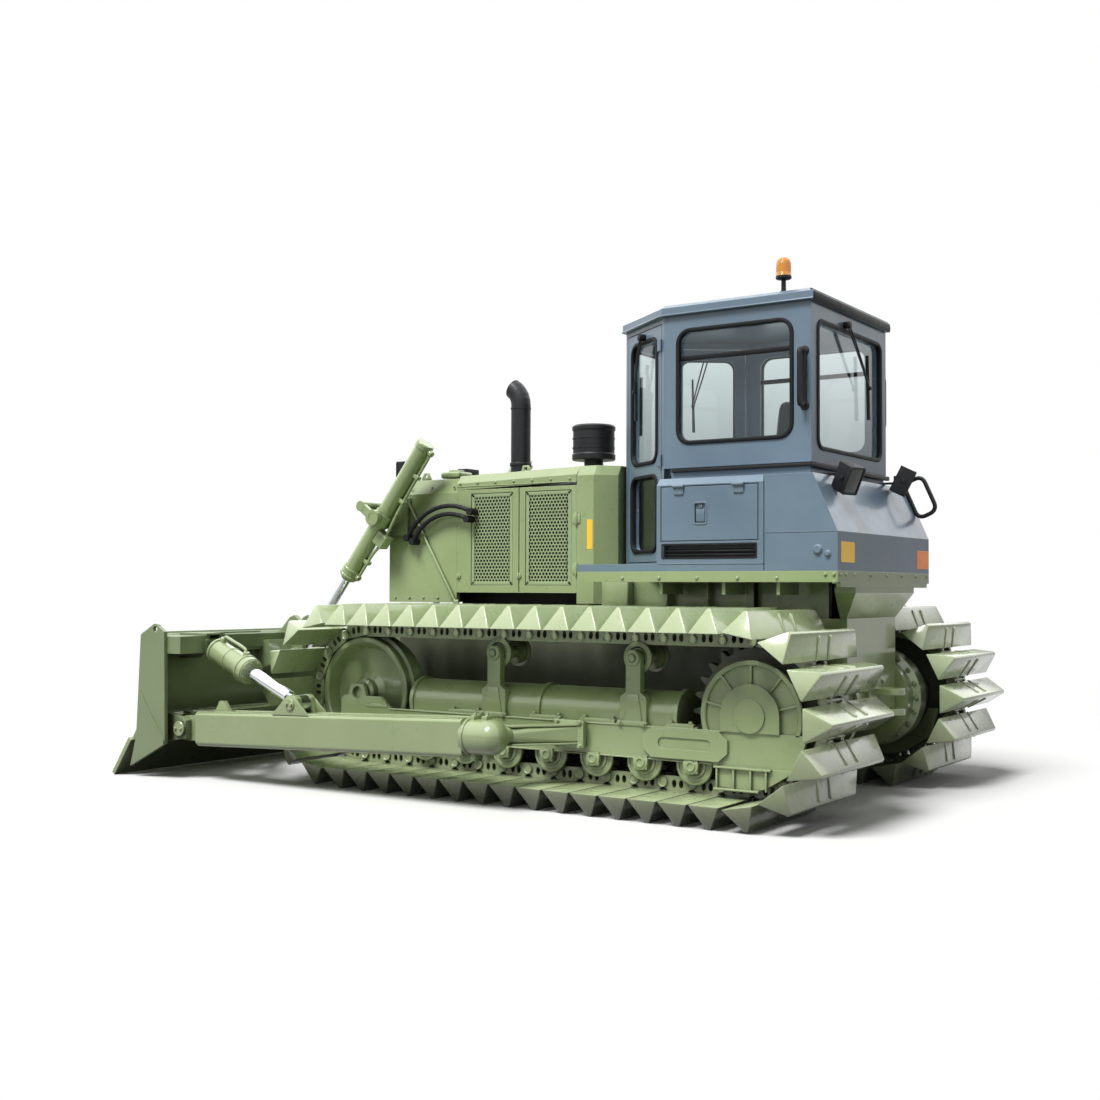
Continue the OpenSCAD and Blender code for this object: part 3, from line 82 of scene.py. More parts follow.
def makeCamera():
    yaw, pitch, roll = (math.radians(view[k]) for k in ("yaw", "pitch", "roll"))
    ahead = Vector((math.cos(pitch) * math.cos(yaw), math.cos(pitch) * math.sin(yaw), math.sin(pitch)))
    right = ahead.cross(Vector((0, 0, 1))).normalized()
    up = right.cross(ahead)
    across = right * math.cos(roll) + up * math.sin(roll)
    upward = up * math.cos(roll) - right * math.sin(roll)
    turn = Matrix((across, upward, -ahead)).transposed().to_4x4()
    data = bpy.data.cameras.new("photoCamera")
    data.lens = view["lens"]
    data.sensor_width = 36
    data.clip_end = 200
    camera = bpy.data.objects.new("photoCamera", data)
    bpy.context.collection.objects.link(camera)
    camera.matrix_world = Matrix.Translation(view["place"]) @ turn
    bpy.context.scene.camera = camera


def hexColour(code):
    parts = [int(code[i:i + 2], 16) / 255 for i in (1, 3, 5)]
    return tuple(p / 12.92 if p <= 0.04045 else ((p + 0.055) / 1.055) ** 2.4 for p in parts) + (1.0,)


# Adds a node; an input is a number, a hex colour, a socket, or a node that gives its first output in use
def addNode(tree, kind, settings=None, **inputs):
    node = tree.nodes.new("ShaderNode" + kind)
    for key, value in (settings or {}).items():
        setattr(node, key, value)
    for key, value in inputs.items():
        numbered = key[0] == "i" and key[1:].isdigit()
        socket = node.inputs[int(key[1:]) if numbered else key.replace("_", " ")]
        if isinstance(value, bpy.types.Node):
            value = next(output for output in value.outputs if output.enabled)
        if isinstance(value, str):
            value = hexColour(value)
        if isinstance(value, bpy.types.NodeSocket):
            tree.links.new(value, socket)
        else:
            socket.default_value = value
    return node


def newMaterial(name):
    material = bpy.data.materials.new(name)
    material.use_nodes = True
    tree = material.node_tree
    tree.nodes.clear()
    return material, tree


def closeMaterial(tree, shader):
    addNode(tree, "OutputMaterial", Surface=shader)


# 1 for the rays that show the background: seen straight, mirrored or through glass
def seenRays(tree, path):
    seen = addNode(tree, "Math", {"operation": "MAXIMUM"}, i0=path.outputs["Is Camera Ray"],
                   i1=path.outputs["Is Glossy Ray"])
    return addNode(tree, "Math", {"operation": "MAXIMUM"}, i0=seen,
                   i1=path.outputs["Is Transmission Ray"])


studio = {
    "skyStrength": 0.25,
    "wallShade": 0.4,  # brightness of the walls in reflections
    "skyShine": 2.3,  # and of the light overhead
    "shineRise": (0.02, 0.42),  # height of the view over which one turns into the other
    "sunStrength": 3.2,
    "sunFrom": (0.1, 0.65, 1.0),  # high over the left side
    "sunSpread": 24,  # degrees, as wide as a big softbox
    "floorColour": "#FAFAF9",
    "bounceColour": "#4C4C4B",  # what the floor throws back up under the machine
    "floorClear": (3.6, 7.5),  # metres from the middle over which the floor turns plain white
}


def makeStudio():
    world = bpy.data.worlds.new("paleStudio")
    bpy.context.scene.world = world
    world.use_nodes = True
    tree = world.node_tree
    tree.nodes.clear()
    path = addNode(tree, "LightPath")
    soft = addNode(tree, "Background", Color=(1, 1, 1, 1), Strength=studio["skyStrength"])
    # in reflections the white is brightest overhead and dimmer by the walls
    outward = addNode(tree, "TexCoord").outputs["Generated"]
    upward = addNode(tree, "SeparateXYZ", Vector=outward).outputs[2]
    low, high = studio["shineRise"]
    dome = addNode(tree, "MapRange", {"interpolation_type": "SMOOTHSTEP"}, i0=upward, i1=low, i2=high,
                   i3=studio["wallShade"], i4=studio["skyShine"])
    level = addNode(tree, "Mix", {"data_type": "FLOAT"}, i0=path.outputs["Is Glossy Ray"], i2=1.0,
                    i3=dome)
    white = addNode(tree, "Background", Color=(1, 1, 1, 1), Strength=level)
    both = addNode(tree, "MixShader", i0=seenRays(tree, path), i1=soft, i2=white)
    addNode(tree, "OutputWorld", Surface=both)
    data = bpy.data.lights.new("softSun", "SUN")
    data.energy = studio["sunStrength"]
    data.angle = math.radians(studio["sunSpread"])
    lamp = bpy.data.objects.new("softSun", data)
    bpy.context.collection.objects.link(lamp)
    lamp.rotation_euler = Vector(studio["sunFrom"]).to_track_quat("Z", "Y").to_euler()
    bpy.ops.object.select_all(action="DESELECT")
    bpy.ops.mesh.primitive_plane_add(size=160, location=(0, 0, 0))
    floor = bpy.context.object
    floor.name = "studioFloor"
    # matt paper that takes the shadow near the machine and runs into the white behind it
    material, tree = newMaterial("whitePaperFloor")
    path = addNode(tree, "LightPath")
    shade = addNode(tree, "Mix", {"data_type": "RGBA"}, i0=path.outputs["Is Diffuse Ray"],
                    i6=studio["floorColour"], i7=studio["bounceColour"])
    paper = addNode(tree, "BsdfDiffuse", Color=shade)
    plain = addNode(tree, "Emission", Color=(1, 1, 1, 1), Strength=1.0)
    place = addNode(tree, "TexCoord").outputs["Object"]
    away = addNode(tree, "VectorMath", {"operation": "LENGTH"}, i0=place)
    near, far = studio["floorClear"]
    clear = addNode(tree, "MapRange", {"interpolation_type": "SMOOTHSTEP"}, i0=away,
                    i1=near, i2=far, i3=0.0, i4=1.0)
    share = addNode(tree, "Math", {"operation": "MULTIPLY"}, i0=clear, i1=seenRays(tree, path))
    both = addNode(tree, "MixShader", i0=share, i1=paper, i2=plain)
    closeMaterial(tree, both)
    floor.data.materials.append(material)


makeCamera()
makeStudio()
bpy.context.scene.view_settings.view_transform = "Standard"
print("camera and studio ready")

# Materials


def paintedSteel(name, look):
    material, tree = newMaterial(name)
    place = addNode(tree, "TexCoord").outputs["Object"]
    # broad, faint unevenness of a sprayed coat, about 0.5 m across
    cloud = addNode(tree, "TexNoise", Vector=place, Scale=2.0, Detail=3.0, Roughness=0.55)
    # film of dust, patches about 90 mm across
    dust = addNode(tree, "TexNoise", Vector=place, Scale=11.0, Detail=5.0, Roughness=0.65)
    # orange peel of the coat: really 2 mm, drawn 7 mm so that it shows
    peel = addNode(tree, "TexNoise", Vector=place, Scale=140.0, Detail=2.0, Roughness=0.5)
    tone = addNode(tree, "MapRange", i0=cloud, i1=0.3, i2=0.7, i3=0.0, i4=1.0)
    base = addNode(tree, "Mix", {"data_type": "RGBA"}, i0=tone, i6=look["deep"],
                   i7=look["light"])
    # edges lighter where the rounded normal leaves the flat one: rubbed paint and a painted highlight along them
    rounded = addNode(tree, "Bevel", {"samples": 4}, Radius=look["edge"])
    flat = addNode(tree, "NewGeometry").outputs["True Normal"]
    meet = addNode(tree, "VectorMath", {"operation": "DOT_PRODUCT"}, i0=rounded, i1=flat)
    edgeMask = addNode(tree, "MapRange", i0=meet, i1=0.995, i2=0.86, i3=0.0, i4=look["wearAndHighlight"])
    wornLitEdge = addNode(tree, "Math", {"operation": "MULTIPLY"}, i0=edgeMask, i1=dust)
    edged = addNode(tree, "Mix", {"data_type": "RGBA"}, i0=wornLitEdge, i6=base,
                    i7=look["edgeWearAndHighlight"])
    # dust that settles low down
    height = addNode(tree, "SeparateXYZ", Vector=place).outputs[2]
    low = addNode(tree, "MapRange", i0=height, i1=1.1, i2=0.0, i3=0.0, i4=look["dust"])
    film = addNode(tree, "Math", {"operation": "MULTIPLY"}, i0=low, i1=dust)
    dusty = addNode(tree, "Mix", {"data_type": "RGBA"}, i0=film, i6=edged,
                    i7="#8F8C78")
    # painted shade: darker in corners and deep hollows where ambient occlusion finds them, with some oily grime there
    # too
    hollow = addNode(tree, "AmbientOcclusion", {"samples": 6}, Distance=look["nookShade"]).outputs["AO"]
    nookShade = addNode(tree, "MapRange", i0=hollow, i1=0.12, i2=0.62, i3=look["shadeAndGrime"], i4=0.0)
    grimedAndShaded = addNode(tree, "Mix", {"data_type": "RGBA"}, i0=nookShade, i6=dusty,
                    i7="#23261C")
    rough = addNode(tree, "MapRange", i0=dust, i1=0.3, i2=0.7, i3=look["rough"] - 0.05,
                    i4=look["rough"] + 0.08)
    bump = addNode(tree, "Bump", Strength=0.05, Distance=0.002, Height=peel,
                   Normal=rounded)
    shader = addNode(tree, "BsdfPrincipled", Base_Color=grimedAndShaded, Roughness=rough,
                     IOR=1.5, Coat_Weight=look["coat"], Coat_Roughness=0.09, Normal=bump)
    closeMaterial(tree, shader)
    return material


def plainCoat(name, look):
    material, tree = newMaterial(name)
    place = addNode(tree, "TexCoord").outputs["Object"]
    broad = addNode(tree, "TexNoise", Vector=place, Scale=look["broad"], Detail=4.0, Roughness=0.6)
    fine = addNode(tree, "TexNoise", Vector=place, Scale=look["fine"], Detail=2.0, Roughness=0.5)
    base = addNode(tree, "Mix", {"data_type": "RGBA"}, i0=broad, i6=look["deep"],
                   i7=look["light"])
    rough = addNode(tree, "MapRange", i0=broad, i1=0.3, i2=0.7, i3=look["rough"] - 0.06,
                    i4=look["rough"] + 0.06)
    bump = addNode(tree, "Bump", Strength=look["bump"], Distance=0.001, Height=fine)
    shader = addNode(tree, "BsdfPrincipled", Base_Color=base, Roughness=rough,
                     Metallic=look.get("metal", 0.0), IOR=1.5, Specular_IOR_Level=look.get("shine", 0.5),
                     Emission_Color=base, Emission_Strength=look.get("glow", 0.0), Normal=bump)
    closeMaterial(tree, shader)
    return material


# Fine parallel lines raised in plastic, glass or cloth; the tone follows them, or broad patches where those are given
def linedCoat(name, look):
    material, tree = newMaterial(name)
    place = addNode(tree, "TexCoord").outputs["Object"]
    lines = addNode(tree, "TexWave", {"bands_direction": look["along"]}, Vector=place, Scale=look["scale"],
                    Distortion=look.get("wander", 0.0)).outputs[1]
    shade = addNode(tree, "TexNoise", Vector=place, Scale=look["patch"], Detail=4.0) if "patch" in look else lines
    tone = addNode(tree, "Mix", {"data_type": "RGBA"}, i0=shade, i6=look["deep"], i7=look["light"])
    bump = addNode(tree, "Bump", Strength=look["bump"], Distance=look["depth"], Height=lines)
    shader = addNode(tree, "BsdfPrincipled", Base_Color=tone, Normal=bump, **look["surface"])
    closeMaterial(tree, shader)
    return material


# sprayed alkyd enamel on steel plate: an even olive coat with soft highlights, and rubbed edges lightened with a
# painted highlight
oliveEnamel = paintedSteel("oliveEnamel", {
    "deep": "#A0B37C", "light": "#ACBD8A", "edgeWearAndHighlight": "#D3DBC0", "edge": 0.006, "wearAndHighlight": 0.8, "dust": 0.35,
    "rough": 0.30, "coat": 0.6, "nookShade": 0.45, "shadeAndGrime": 0.85})
# the same enamel on the shoes, lighter as a painted highlight, with a thicker and glossier coat
litTrackEnamel = paintedSteel("litTrackEnamel", {
    "deep": "#AFC08C", "light": "#BBCA9A", "edgeWearAndHighlight": "#DCE3CB", "edge": 0.006, "wearAndHighlight": 0.9, "dust": 0.2,
    "rough": 0.28, "coat": 0.8, "nookShade": 0.45, "shadeAndGrime": 0.85})
# the enamel of the blade, darker than the rest as painted shade, with a little more dust low down
shadedBladeEnamel = paintedSteel("shadedBladeEnamel", {
    "deep": "#84966A", "light": "#90A176", "edgeWearAndHighlight": "#C6D0B2", "edge": 0.006, "wearAndHighlight": 0.8, "dust": 0.4,
    "rough": 0.38, "coat": 0.35, "nookShade": 0.45, "shadeAndGrime": 0.9})
# the enamel under the machine: darker as painted shade, and dulled by a film of soil and oil
shadedDullEnamel = paintedSteel("shadedDullEnamel", {
    "deep": "#3F4534", "light": "#5A624C", "edgeWearAndHighlight": "#7E8770", "edge": 0.006, "wearAndHighlight": 0.5, "dust": 0.5,
    "rough": 0.5, "coat": 0.1, "nookShade": 0.45, "shadeAndGrime": 0.9})
# the same enamel in blue grey on the thin sheet of cab and tank: flatter and a little glossier
greyEnamel = paintedSteel("greyEnamel", {
    "deep": "#6F8598", "light": "#7C92A4", "edgeWearAndHighlight": "#B4C0CA", "edge": 0.005, "wearAndHighlight": 0.5, "dust": 0.2,
    "rough": 0.33, "coat": 0.3, "nookShade": 0.12, "shadeAndGrime": 0.55})
# stoved black paint: satin, with a faint brown cast from heat
blackEnamel = plainCoat("blackEnamel", {
    "deep": "#131416", "light": "#202225", "rough": 0.42, "shine": 0.3, "broad": 6.0, "fine": 260.0, "bump": 0.08})
# moulded black ABS: fine pebble grain, about 1.5 mm, drawn 4 mm
blackPlastic = plainCoat("blackPlastic", {
    "deep": "#101112", "light": "#1C1E20", "rough": 0.5, "shine": 0.25, "broad": 9.0, "fine": 250.0, "bump": 0.25})
# extruded EPDM rubber: dull black with a dusty bloom
sealRubber = plainCoat("sealRubber", {
    "deep": "#08090A", "light": "#17191C", "rough": 0.55, "shine": 0.2, "broad": 14.0, "fine": 300.0, "bump": 0.12})
# hydraulic hose: rubber cover with a wrapped cloth mark
hoseRubber = plainCoat("hoseRubber", {
    "deep": "#101113", "light": "#1F2124", "rough": 0.55, "shine": 0.25, "broad": 20.0, "fine": 420.0, "bump": 0.2})
# hard chrome on the rods: near mirror with faint grinding haze
chromePlate = plainCoat("chromePlate", {
    "deep": "#C4C9CD", "light": "#E2E5E7", "rough": 0.12, "broad": 30.0, "fine": 500.0, "bump": 0.02, "metal": 1.0})
# cast iron block in the engine bay: dark, dull, oily
engineIron = plainCoat("engineIron", {
    "deep": "#141414", "light": "#232220", "rough": 0.6, "broad": 8.0, "fine": 120.0, "bump": 0.3})


def makeGlass():
    # float glass, 8 mm: clear with a faint green-blue edge
    material, tree = newMaterial("floatGlass")
    pane = addNode(tree, "BsdfPrincipled", Base_Color="#E9F1F1", Roughness=0.01, IOR=1.45,
                   Transmission_Weight=1.0)
    through = addNode(tree, "BsdfTransparent", Color="#E3EDEE")
    shade = addNode(tree, "LightPath").outputs["Is Shadow Ray"]
    both = addNode(tree, "MixShader", i0=shade, i1=pane, i2=through)
    closeMaterial(tree, both)
    return material


floatGlass = makeGlass()
print("materials ready")

coats = {
    oliveEnamel: ["track_left", "track_right", "track_frame_left", "track_frame_right", "idlers",
                  "rollers", "final_drives", "rear_case", "deck",
                  "radiator_guard", "hood_top", "cowl", "engine_screen_left", "engine_screen_right", "lift_yokes",
                  "arm_trunnions", "cutting_edge", "push_arm_left", "push_arm_right", "tilt_barrel",
                  "pitch_brace", "lift_tube_left", "lift_tube_right"],
    shadedBladeEnamel: ["blade"],
    shadedDullEnamel: ["sprockets", "cross_axles", "frame_rails", "belly_guard"],
    greyEnamel: ["fuel_tank", "box_left", "box_right", "box_door", "cab_sides", "cab_rear_wall", "cab_front",
                 "cab_sill", "cab_roof", "cab_door_left", "cab_door_right"],
    blackEnamel: ["exhaust_pipe", "air_precleaner", "radiator_grille"],
    blackPlastic: ["controls", "beacon", "work_lamps", "grab_handles", "cab_floor", "seat"],
    engineIron: ["engine"],
    hoseRubber: ["hoses"],
    chromePlate: ["tilt_rod", "lift_rod_left", "lift_rod_right"],
    floatGlass: ["cab_glass", "door_glass_left", "door_glass_right"],
}
for coat, names in coats.items():
    for name in names:
        for socket in nodes[name].material_slots:
            socket.material = coat
print("CAD nodes painted")


# Modelling helpers, one step of handwork each


def fresh():
    if bpy.context.object and bpy.context.object.mode != "OBJECT":
        bpy.ops.object.mode_set(mode="OBJECT")
    bpy.ops.object.select_all(action="DESELECT")


def choose(piece):
    fresh()
    piece.select_set(True)
    bpy.context.view_layer.objects.active = piece


def settle(piece):
    choose(piece)
    bpy.ops.object.transform_apply(location=True, rotation=True, scale=True)
    return piece


def pickFaces(piece, wanted):
    choose(piece)
    bpy.ops.object.mode_set(mode="EDIT")
    bpy.ops.mesh.select_mode(type="FACE")
    bpy.ops.mesh.select_all(action="DESELECT")
    mesh = bmesh.from_edit_mesh(piece.data)
    for face in mesh.faces:
        face.select_set(bool(wanted(face.calc_center_median(), face.normal)))
    bmesh.update_edit_mesh(piece.data)


def openAll(piece):
    choose(piece)
    bpy.ops.object.mode_set(mode="EDIT")
    bpy.ops.mesh.select_all(action="SELECT")


def endEdit():
    bpy.ops.object.mode_set(mode="OBJECT")


# Ends an edit with all normals facing outwards
def endOutward():
    bpy.ops.mesh.select_all(action="SELECT")
    bpy.ops.mesh.normals_make_consistent(inside=False)
    endEdit()


def applied(piece, kind, **settings):
    choose(piece)
    step = piece.modifiers.new("step", kind)
    for key, value in settings.items():
        setattr(step, key, value)
    bpy.ops.object.modifier_apply(modifier="step")
    return piece


def softenEdges(piece, rim, steps=2, sharp=30):
    return applied(piece, "BEVEL", width=rim, segments=steps, limit_method="ANGLE", angle_limit=math.radians(sharp))


def cutWith(piece, tool):
    applied(piece, "BOOLEAN", operation="DIFFERENCE", object=tool)
    bpy.data.objects.remove(tool)
    return piece


# A flat outline through the points, left open for editing
def outlinePiece(points, fill="NGON"):
    fresh()
    bpy.ops.mesh.primitive_circle_add(vertices=len(points), fill_type=fill)
    piece = bpy.context.object
    for corner, point in zip(piece.data.vertices, points):
        corner.co = point
    openAll(piece)
    return piece


# A box between two corners, its rims rounded
def boxPiece(low, high, rim=0.004, steps=2):
    fresh()
    low, high = Vector(low), Vector(high)
    bpy.ops.mesh.primitive_cube_add(size=1, location=(low + high) / 2)
    piece = bpy.context.object
    piece.scale = high - low
    settle(piece)
    return softenEdges(piece, rim, steps)


# The same between two places in mm, its rim in mm too
def block(x0, y0, z0, x1, y1, z1, rim=4, steps=2):
    return boxPiece(at(x0, y0, z0), at(x1, y1, z1), rim * mm, steps)


# A round bar between two points, its ends rounded off
def barPiece(start, end, radius, rim=0.003, sides=28):
    fresh()
    start, end = Vector(start), Vector(end)
    bpy.ops.mesh.primitive_cone_add(vertices=sides, radius1=radius, radius2=radius, depth=(end - start).length,
                                    location=(start + end) / 2)
    piece = bpy.context.object
    piece.rotation_euler = (end - start).to_track_quat("Z", "Y").to_euler()
    settle(piece)
    return softenEdges(piece, rim, 2, 50) if rim else piece


# A flat plate of any outline, given as 3-D points, thickened along a direction
def platePiece(points, thick, rim=0.004, steps=2):
    piece = outlinePiece(points)
    bpy.ops.mesh.extrude_region_move(TRANSFORM_OT_translate={"value": Vector(thick)})
    endOutward()
    settle(piece)
    return softenEdges(piece, rim, steps) if rim else piece


# A hose, pipe or handle along points
def tubePiece(points, radius, smooth=True, sides=5):
    fresh()
    data = bpy.data.curves.new("run", "CURVE")
    data.dimensions = "3D"
    data.bevel_depth = radius
    data.bevel_resolution = sides
    data.use_fill_caps = True
    data.resolution_u = 8
    line = data.splines.new("NURBS" if smooth else "POLY")
    line.points.add(len(points) - 1)
    for spot, point in zip(line.points, points):
        spot.co = (*point, 1)
    if smooth:
        line.use_endpoint_u = True
        line.order_u = 4
    piece = bpy.data.objects.new("run", data)
    bpy.context.collection.objects.link(piece)
    choose(piece)
    bpy.ops.object.convert(target="MESH")
    return bpy.context.object


# A turned piece: outline points (radius, height) in mm, spun about its own upright line and then placed
def turnedPiece(outline, place=Matrix(), sides=36):
    piece = outlinePiece([(r * mm, 0, z * mm) for r, z in outline], "NOTHING")
    bpy.ops.mesh.spin(steps=sides, angle=2 * math.pi, center=(0, 0, 0), axis=(0, 0, 1))
    bpy.ops.mesh.select_all(action="SELECT")
    bpy.ops.mesh.remove_doubles(threshold=0.00005)
    endOutward()
    piece.data.transform(place)
    return piece


# A low cap with a slanted rim, turned
def capOutline(radius, height, rim):
    return [(axis, 0), (radius, 0), (radius, height - rim), (radius - rim, height), (axis, height)]


# A ring of rectangular section with small chamfers outside, turned
def bandOutline(inner, outer, low, high, slant=3, rise=4):
    return [(inner, low), (outer - slant, low), (outer, low + rise), (outer, high - rise), (outer - slant, high),
            (inner, high)]


# Turned outlines stand on z; this lays them along y, facing outwards on the left
def facingLeft(x, y, z):
    return moved(x, y, z) @ turned(-90, "X")


# Cuts off what lies past a plane and closes the cut
def trimPast(piece, point, away):
    openAll(piece)
    bpy.ops.mesh.bisect(plane_co=point, plane_no=away, use_fill=True, clear_outer=True)
    endEdit()
    return piece


def twin(piece, matrix):
    other = piece.copy()
    other.data = piece.data.copy()
    other.data.transform(matrix)
    bpy.context.collection.objects.link(other)
    return other


def mirrored(piece):
    other = twin(piece, Matrix.Scale(-1, 4, (0, 1, 0)))
    openAll(other)
    bpy.ops.mesh.flip_normals()
    endEdit()
    return other


def joined(parts):
    choose(parts[0])
    for part in parts:
        part.select_set(True)
    if len(parts) > 1:
        bpy.ops.object.join()
    return bpy.context.object


# Joins the parts and gives the piece its smoothing, name, coat, slot and body
def finishPiece(parts, name, coat, body="machine", sharp=35):
    piece = settle(joined(parts))
    bpy.ops.object.shade_smooth_by_angle(angle=math.radians(sharp))
    piece.name = name
    piece.data.materials.clear()
    piece.data.materials.append(coat)
    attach(piece, body)
    return piece


# Finishes a left piece and its mirror image on the right
def finishPair(parts, name, coat, body="machine"):
    left = joined(parts)
    for word, piece in (("left", left), ("right", mirrored(left))):
        finishPiece([piece], name + "_" + word, coat, body)


# Bolts: a hex head on a washer, modelled once for each row


def boltHead(radius):
    fresh()
    bpy.ops.mesh.primitive_cylinder_add(vertices=14, radius=radius * 1.45, depth=radius * 0.3,
                                        location=(0, 0, radius * 0.15))
    washer = softenEdges(bpy.context.object, radius * 0.08, 1, 50)
    fresh()
    bpy.ops.mesh.primitive_cylinder_add(vertices=6, radius=radius, depth=radius * 0.8, location=(0, 0, radius * 0.65))
    head = bpy.context.object
    pickFaces(head, lambda c, n: n.z > 0.9)
    bpy.ops.mesh.inset(thickness=radius * 0.14)
    bpy.ops.transform.translate(value=(0, 0, radius * 0.1))
    endEdit()
    settle(washer)
    settle(head)
    return joined([washer, head])


def boltRow(name, places, outward, radius, body="machine"):
    model = boltHead(radius * mm)
    heads = [twin(model, moved(*place) @ facing(outward)) for place in places]
    bpy.data.objects.remove(model)
    finishPiece(heads, name, oliveEnamel, body)


# The same row on both sides, given for the left
def boltPair(name, places, outward, radius, body="machine"):
    x0, y0, z0 = outward
    for word, s in sides:
        boltRow(name + "_" + word, [(x, s * y, z) for x, y, z in places], (x0, s * y0, z0), radius, body)


# Tracks: shoes with gussets, links with windows and pin bosses

track = {
    "gauge": 2300, "shoeWidth": 1100, "shoes": 44, "pitch": 203.2, "wheelLinks": 13.5, "shoeHeight": 146,
    "shoeBase": 196, "shoeEdge": 22, "shoeTaper": 73, "linkDrop": 50, "railRise": 42, "railY": 82, "railWidth": 40,
    "ribGap": 170, "ribThick": 24, "ribProud": 22, "rim": 5, "ribRim": 3, "bossRadius": 33, "bossProud": 16,
}


def trackSpot(s):
    radius = track["pitch"] / 2 / math.sin(math.pi / track["wheelLinks"])
    base = (track["shoes"] * track["pitch"] - 2 * math.pi * radius) / 2
    quarter = math.pi * radius / 2
    s = s % (track["shoes"] * track["pitch"])
    if quarter <= s < quarter + base:
        return s - quarter, axleZ - radius, 270.0
    if 3 * quarter + base <= s < 3 * quarter + 2 * base:
        return 2 * base + 3 * quarter - s, axleZ + radius, 90.0
    if s < quarter:
        x, turn = 0.0, 180 + math.degrees(s / radius)
    elif s < 3 * quarter + base:
        x, turn = base, 270 + math.degrees((s - quarter - base) / radius)
    else:
        x, turn = 0.0, 90 + math.degrees((s - 3 * quarter - 2 * base) / radius)
    return x + radius * math.cos(math.radians(turn)), axleZ + radius * math.sin(math.radians(turn)), turn


def trackShoe():
    t = track
    w, h = t["shoeWidth"] * mm, t["shoeHeight"] * mm
    parts = []
    apart, rib = t["ribGap"] / 2 * mm, t["ribThick"] * mm
    for y, width, grow in ((0, w, 0), (-apart, rib, 1), (apart, rib, 1)):  # the shoe, then its two ribs
        proud = grow * t["ribProud"] * mm
        fresh()
        bpy.ops.mesh.primitive_cube_add(size=1, location=(0, y, t["linkDrop"] * mm + h / 2 - proud * 0.4))
        body = bpy.context.object
        body.scale = (t["shoeBase"] * mm + proud * 0.4, width, h - proud * 0.8)
        settle(body)
        top = max(v.co.z for v in body.data.vertices)
        pickFaces(body, lambda c, n: n.z > 0.9)
        narrow = (t["shoeEdge"] * mm + proud * 1.9) / (t["shoeBase"] * mm)
        shorter = 1.0 if grow else (w - 2 * t["shoeTaper"] * mm) / w
        bpy.ops.transform.resize(value=(narrow, shorter, 1), center_override=(0, y, top))
        endEdit()
        parts.append(softenEdges(body, t["ribRim" if grow else "rim"] * mm, 2, 20))
    return joined(parts)


def trackLink():
    t = track
    reach, half = t["pitch"] * mm / 2, t["railWidth"] * mm / 2
    low, high = -t["railRise"] * mm, (t["linkDrop"] + 2) * mm
    outline = [(-reach, low), (reach, low), (reach * 1.12, low * 0.2), (reach, high * 0.62), (reach * 0.7, high),
               (-reach * 0.7, high), (-reach, high * 0.62), (-reach * 1.12, low * 0.2)]
    plate = platePiece([(x, -half, z) for x, z in outline], (0, 2 * half, 0), 0.003, 1)
    for x in (-0.03, 0.03):  # two windows through the web, beside the shoe bolts
        window = barPiece((x, -0.06, 0.006), (x, 0.06, 0.006), 0.019, 0, 14)
        window.scale = (0.8, 1, 1.35)
        bpy.ops.object.origin_set(type="ORIGIN_GEOMETRY", center="BOUNDS")
        settle(window)
        cutWith(plate, window)
    rails = [twin(plate, Matrix.Translation((0, side * t["railY"] * mm, 0))) for side in (-1, 1)]
    bpy.data.objects.remove(plate)
    return joined(rails)


def trackPin():
    t = track
    end = (t["railY"] + t["railWidth"] / 2 + t["bossProud"]) * mm
    boss = barPiece((0, -end, 0), (0, end, 0), t["bossRadius"] * mm, 0, 20)
    pickFaces(boss, lambda c, n: abs(n.y) > 0.9)
    bpy.ops.mesh.inset(thickness=0.008, use_individual=True)
    bpy.ops.mesh.extrude_faces_move(TRANSFORM_OT_shrink_fatten={"value": -0.005})
    bpy.ops.mesh.inset(thickness=0.006, use_individual=True)
    endEdit()
    return softenEdges(boss, 0.003, 1, 50)


def makeTracks():
    shoe, link, pin = trackShoe(), trackLink(), trackPin()
    for word, side in sides:
        parts = []
        for k in range(track["shoes"]):
            for model, step in ((shoe, 0.0), (link, 0.0), (pin, 0.5)):
                x, z, turn = trackSpot((k + step) * track["pitch"])
                spot = moved(x, side * track["gauge"] / 2, z)
                parts.append(twin(model, spot @ turned(90 - turn, "Y")))
        loop = finishPiece(parts, "trackLoop_" + word, litTrackEnamel, sharp=40)
        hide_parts("track_" + word)
    for model in (shoe, link, pin):
        bpy.data.objects.remove(model)


makeTracks()
print("tracks made")

# Cab

cab = {
    "half": 653, "back": -95, "sideEnd": 965, "front": 1480, "noseHalf": 285, "wall": 55,
    "floor": 2189.6, "roofTop": 3289.6, "roofOver": 24, "dripZ": 3219,
    "sideWindow": (45, 850, 2364.6, 3099.6, 80), "rearWindow": (-543, 543, 2294.6, 3094.6, 60),
    "frontWindow": (-235, 235, 2169.6, 3094.6, 50), "doorUpper": (117, 516, 2259.6, 3089.6, 70),
    "doorLower": (117, 516, 1649.6, 2149.6, 60), "sealLap": 22, "sealBand": 28.1, "sealProud": 12,
}
noseTurn = math.atan2(cab["noseHalf"] - cab["half"], cab["front"] - cab["sideEnd"])
# each wall's own place: x along the wall, y outward, z up
leftWall = moved(0, cab["half"], 0)
rearWall = moved(cab["back"], 0, 0) @ turned(90, "Z")
frontWall = moved(cab["front"], 0, 0) @ turned(-90, "Z")
leftNose = moved(cab["sideEnd"], cab["half"], 0) @ Matrix.Rotation(noseTurn, 4, "Z")


def roundedOutline(x0, x1, z0, z1, corner, grow, steps=6):
    points = []
    for cx, cz, first in ((x1 - corner, z1 - corner, 0), (x0 + corner, z1 - corner, 90),
                          (x0 + corner, z0 + corner, 180), (x1 - corner, z0 + corner, 270)):
        for i in range(steps + 1):
            turn = math.radians(first + 90 * i / steps)
            reach = corner + grow
            points.append(((cx + reach * math.cos(turn)) * mm, (cz + reach * math.sin(turn)) * mm))
    return points


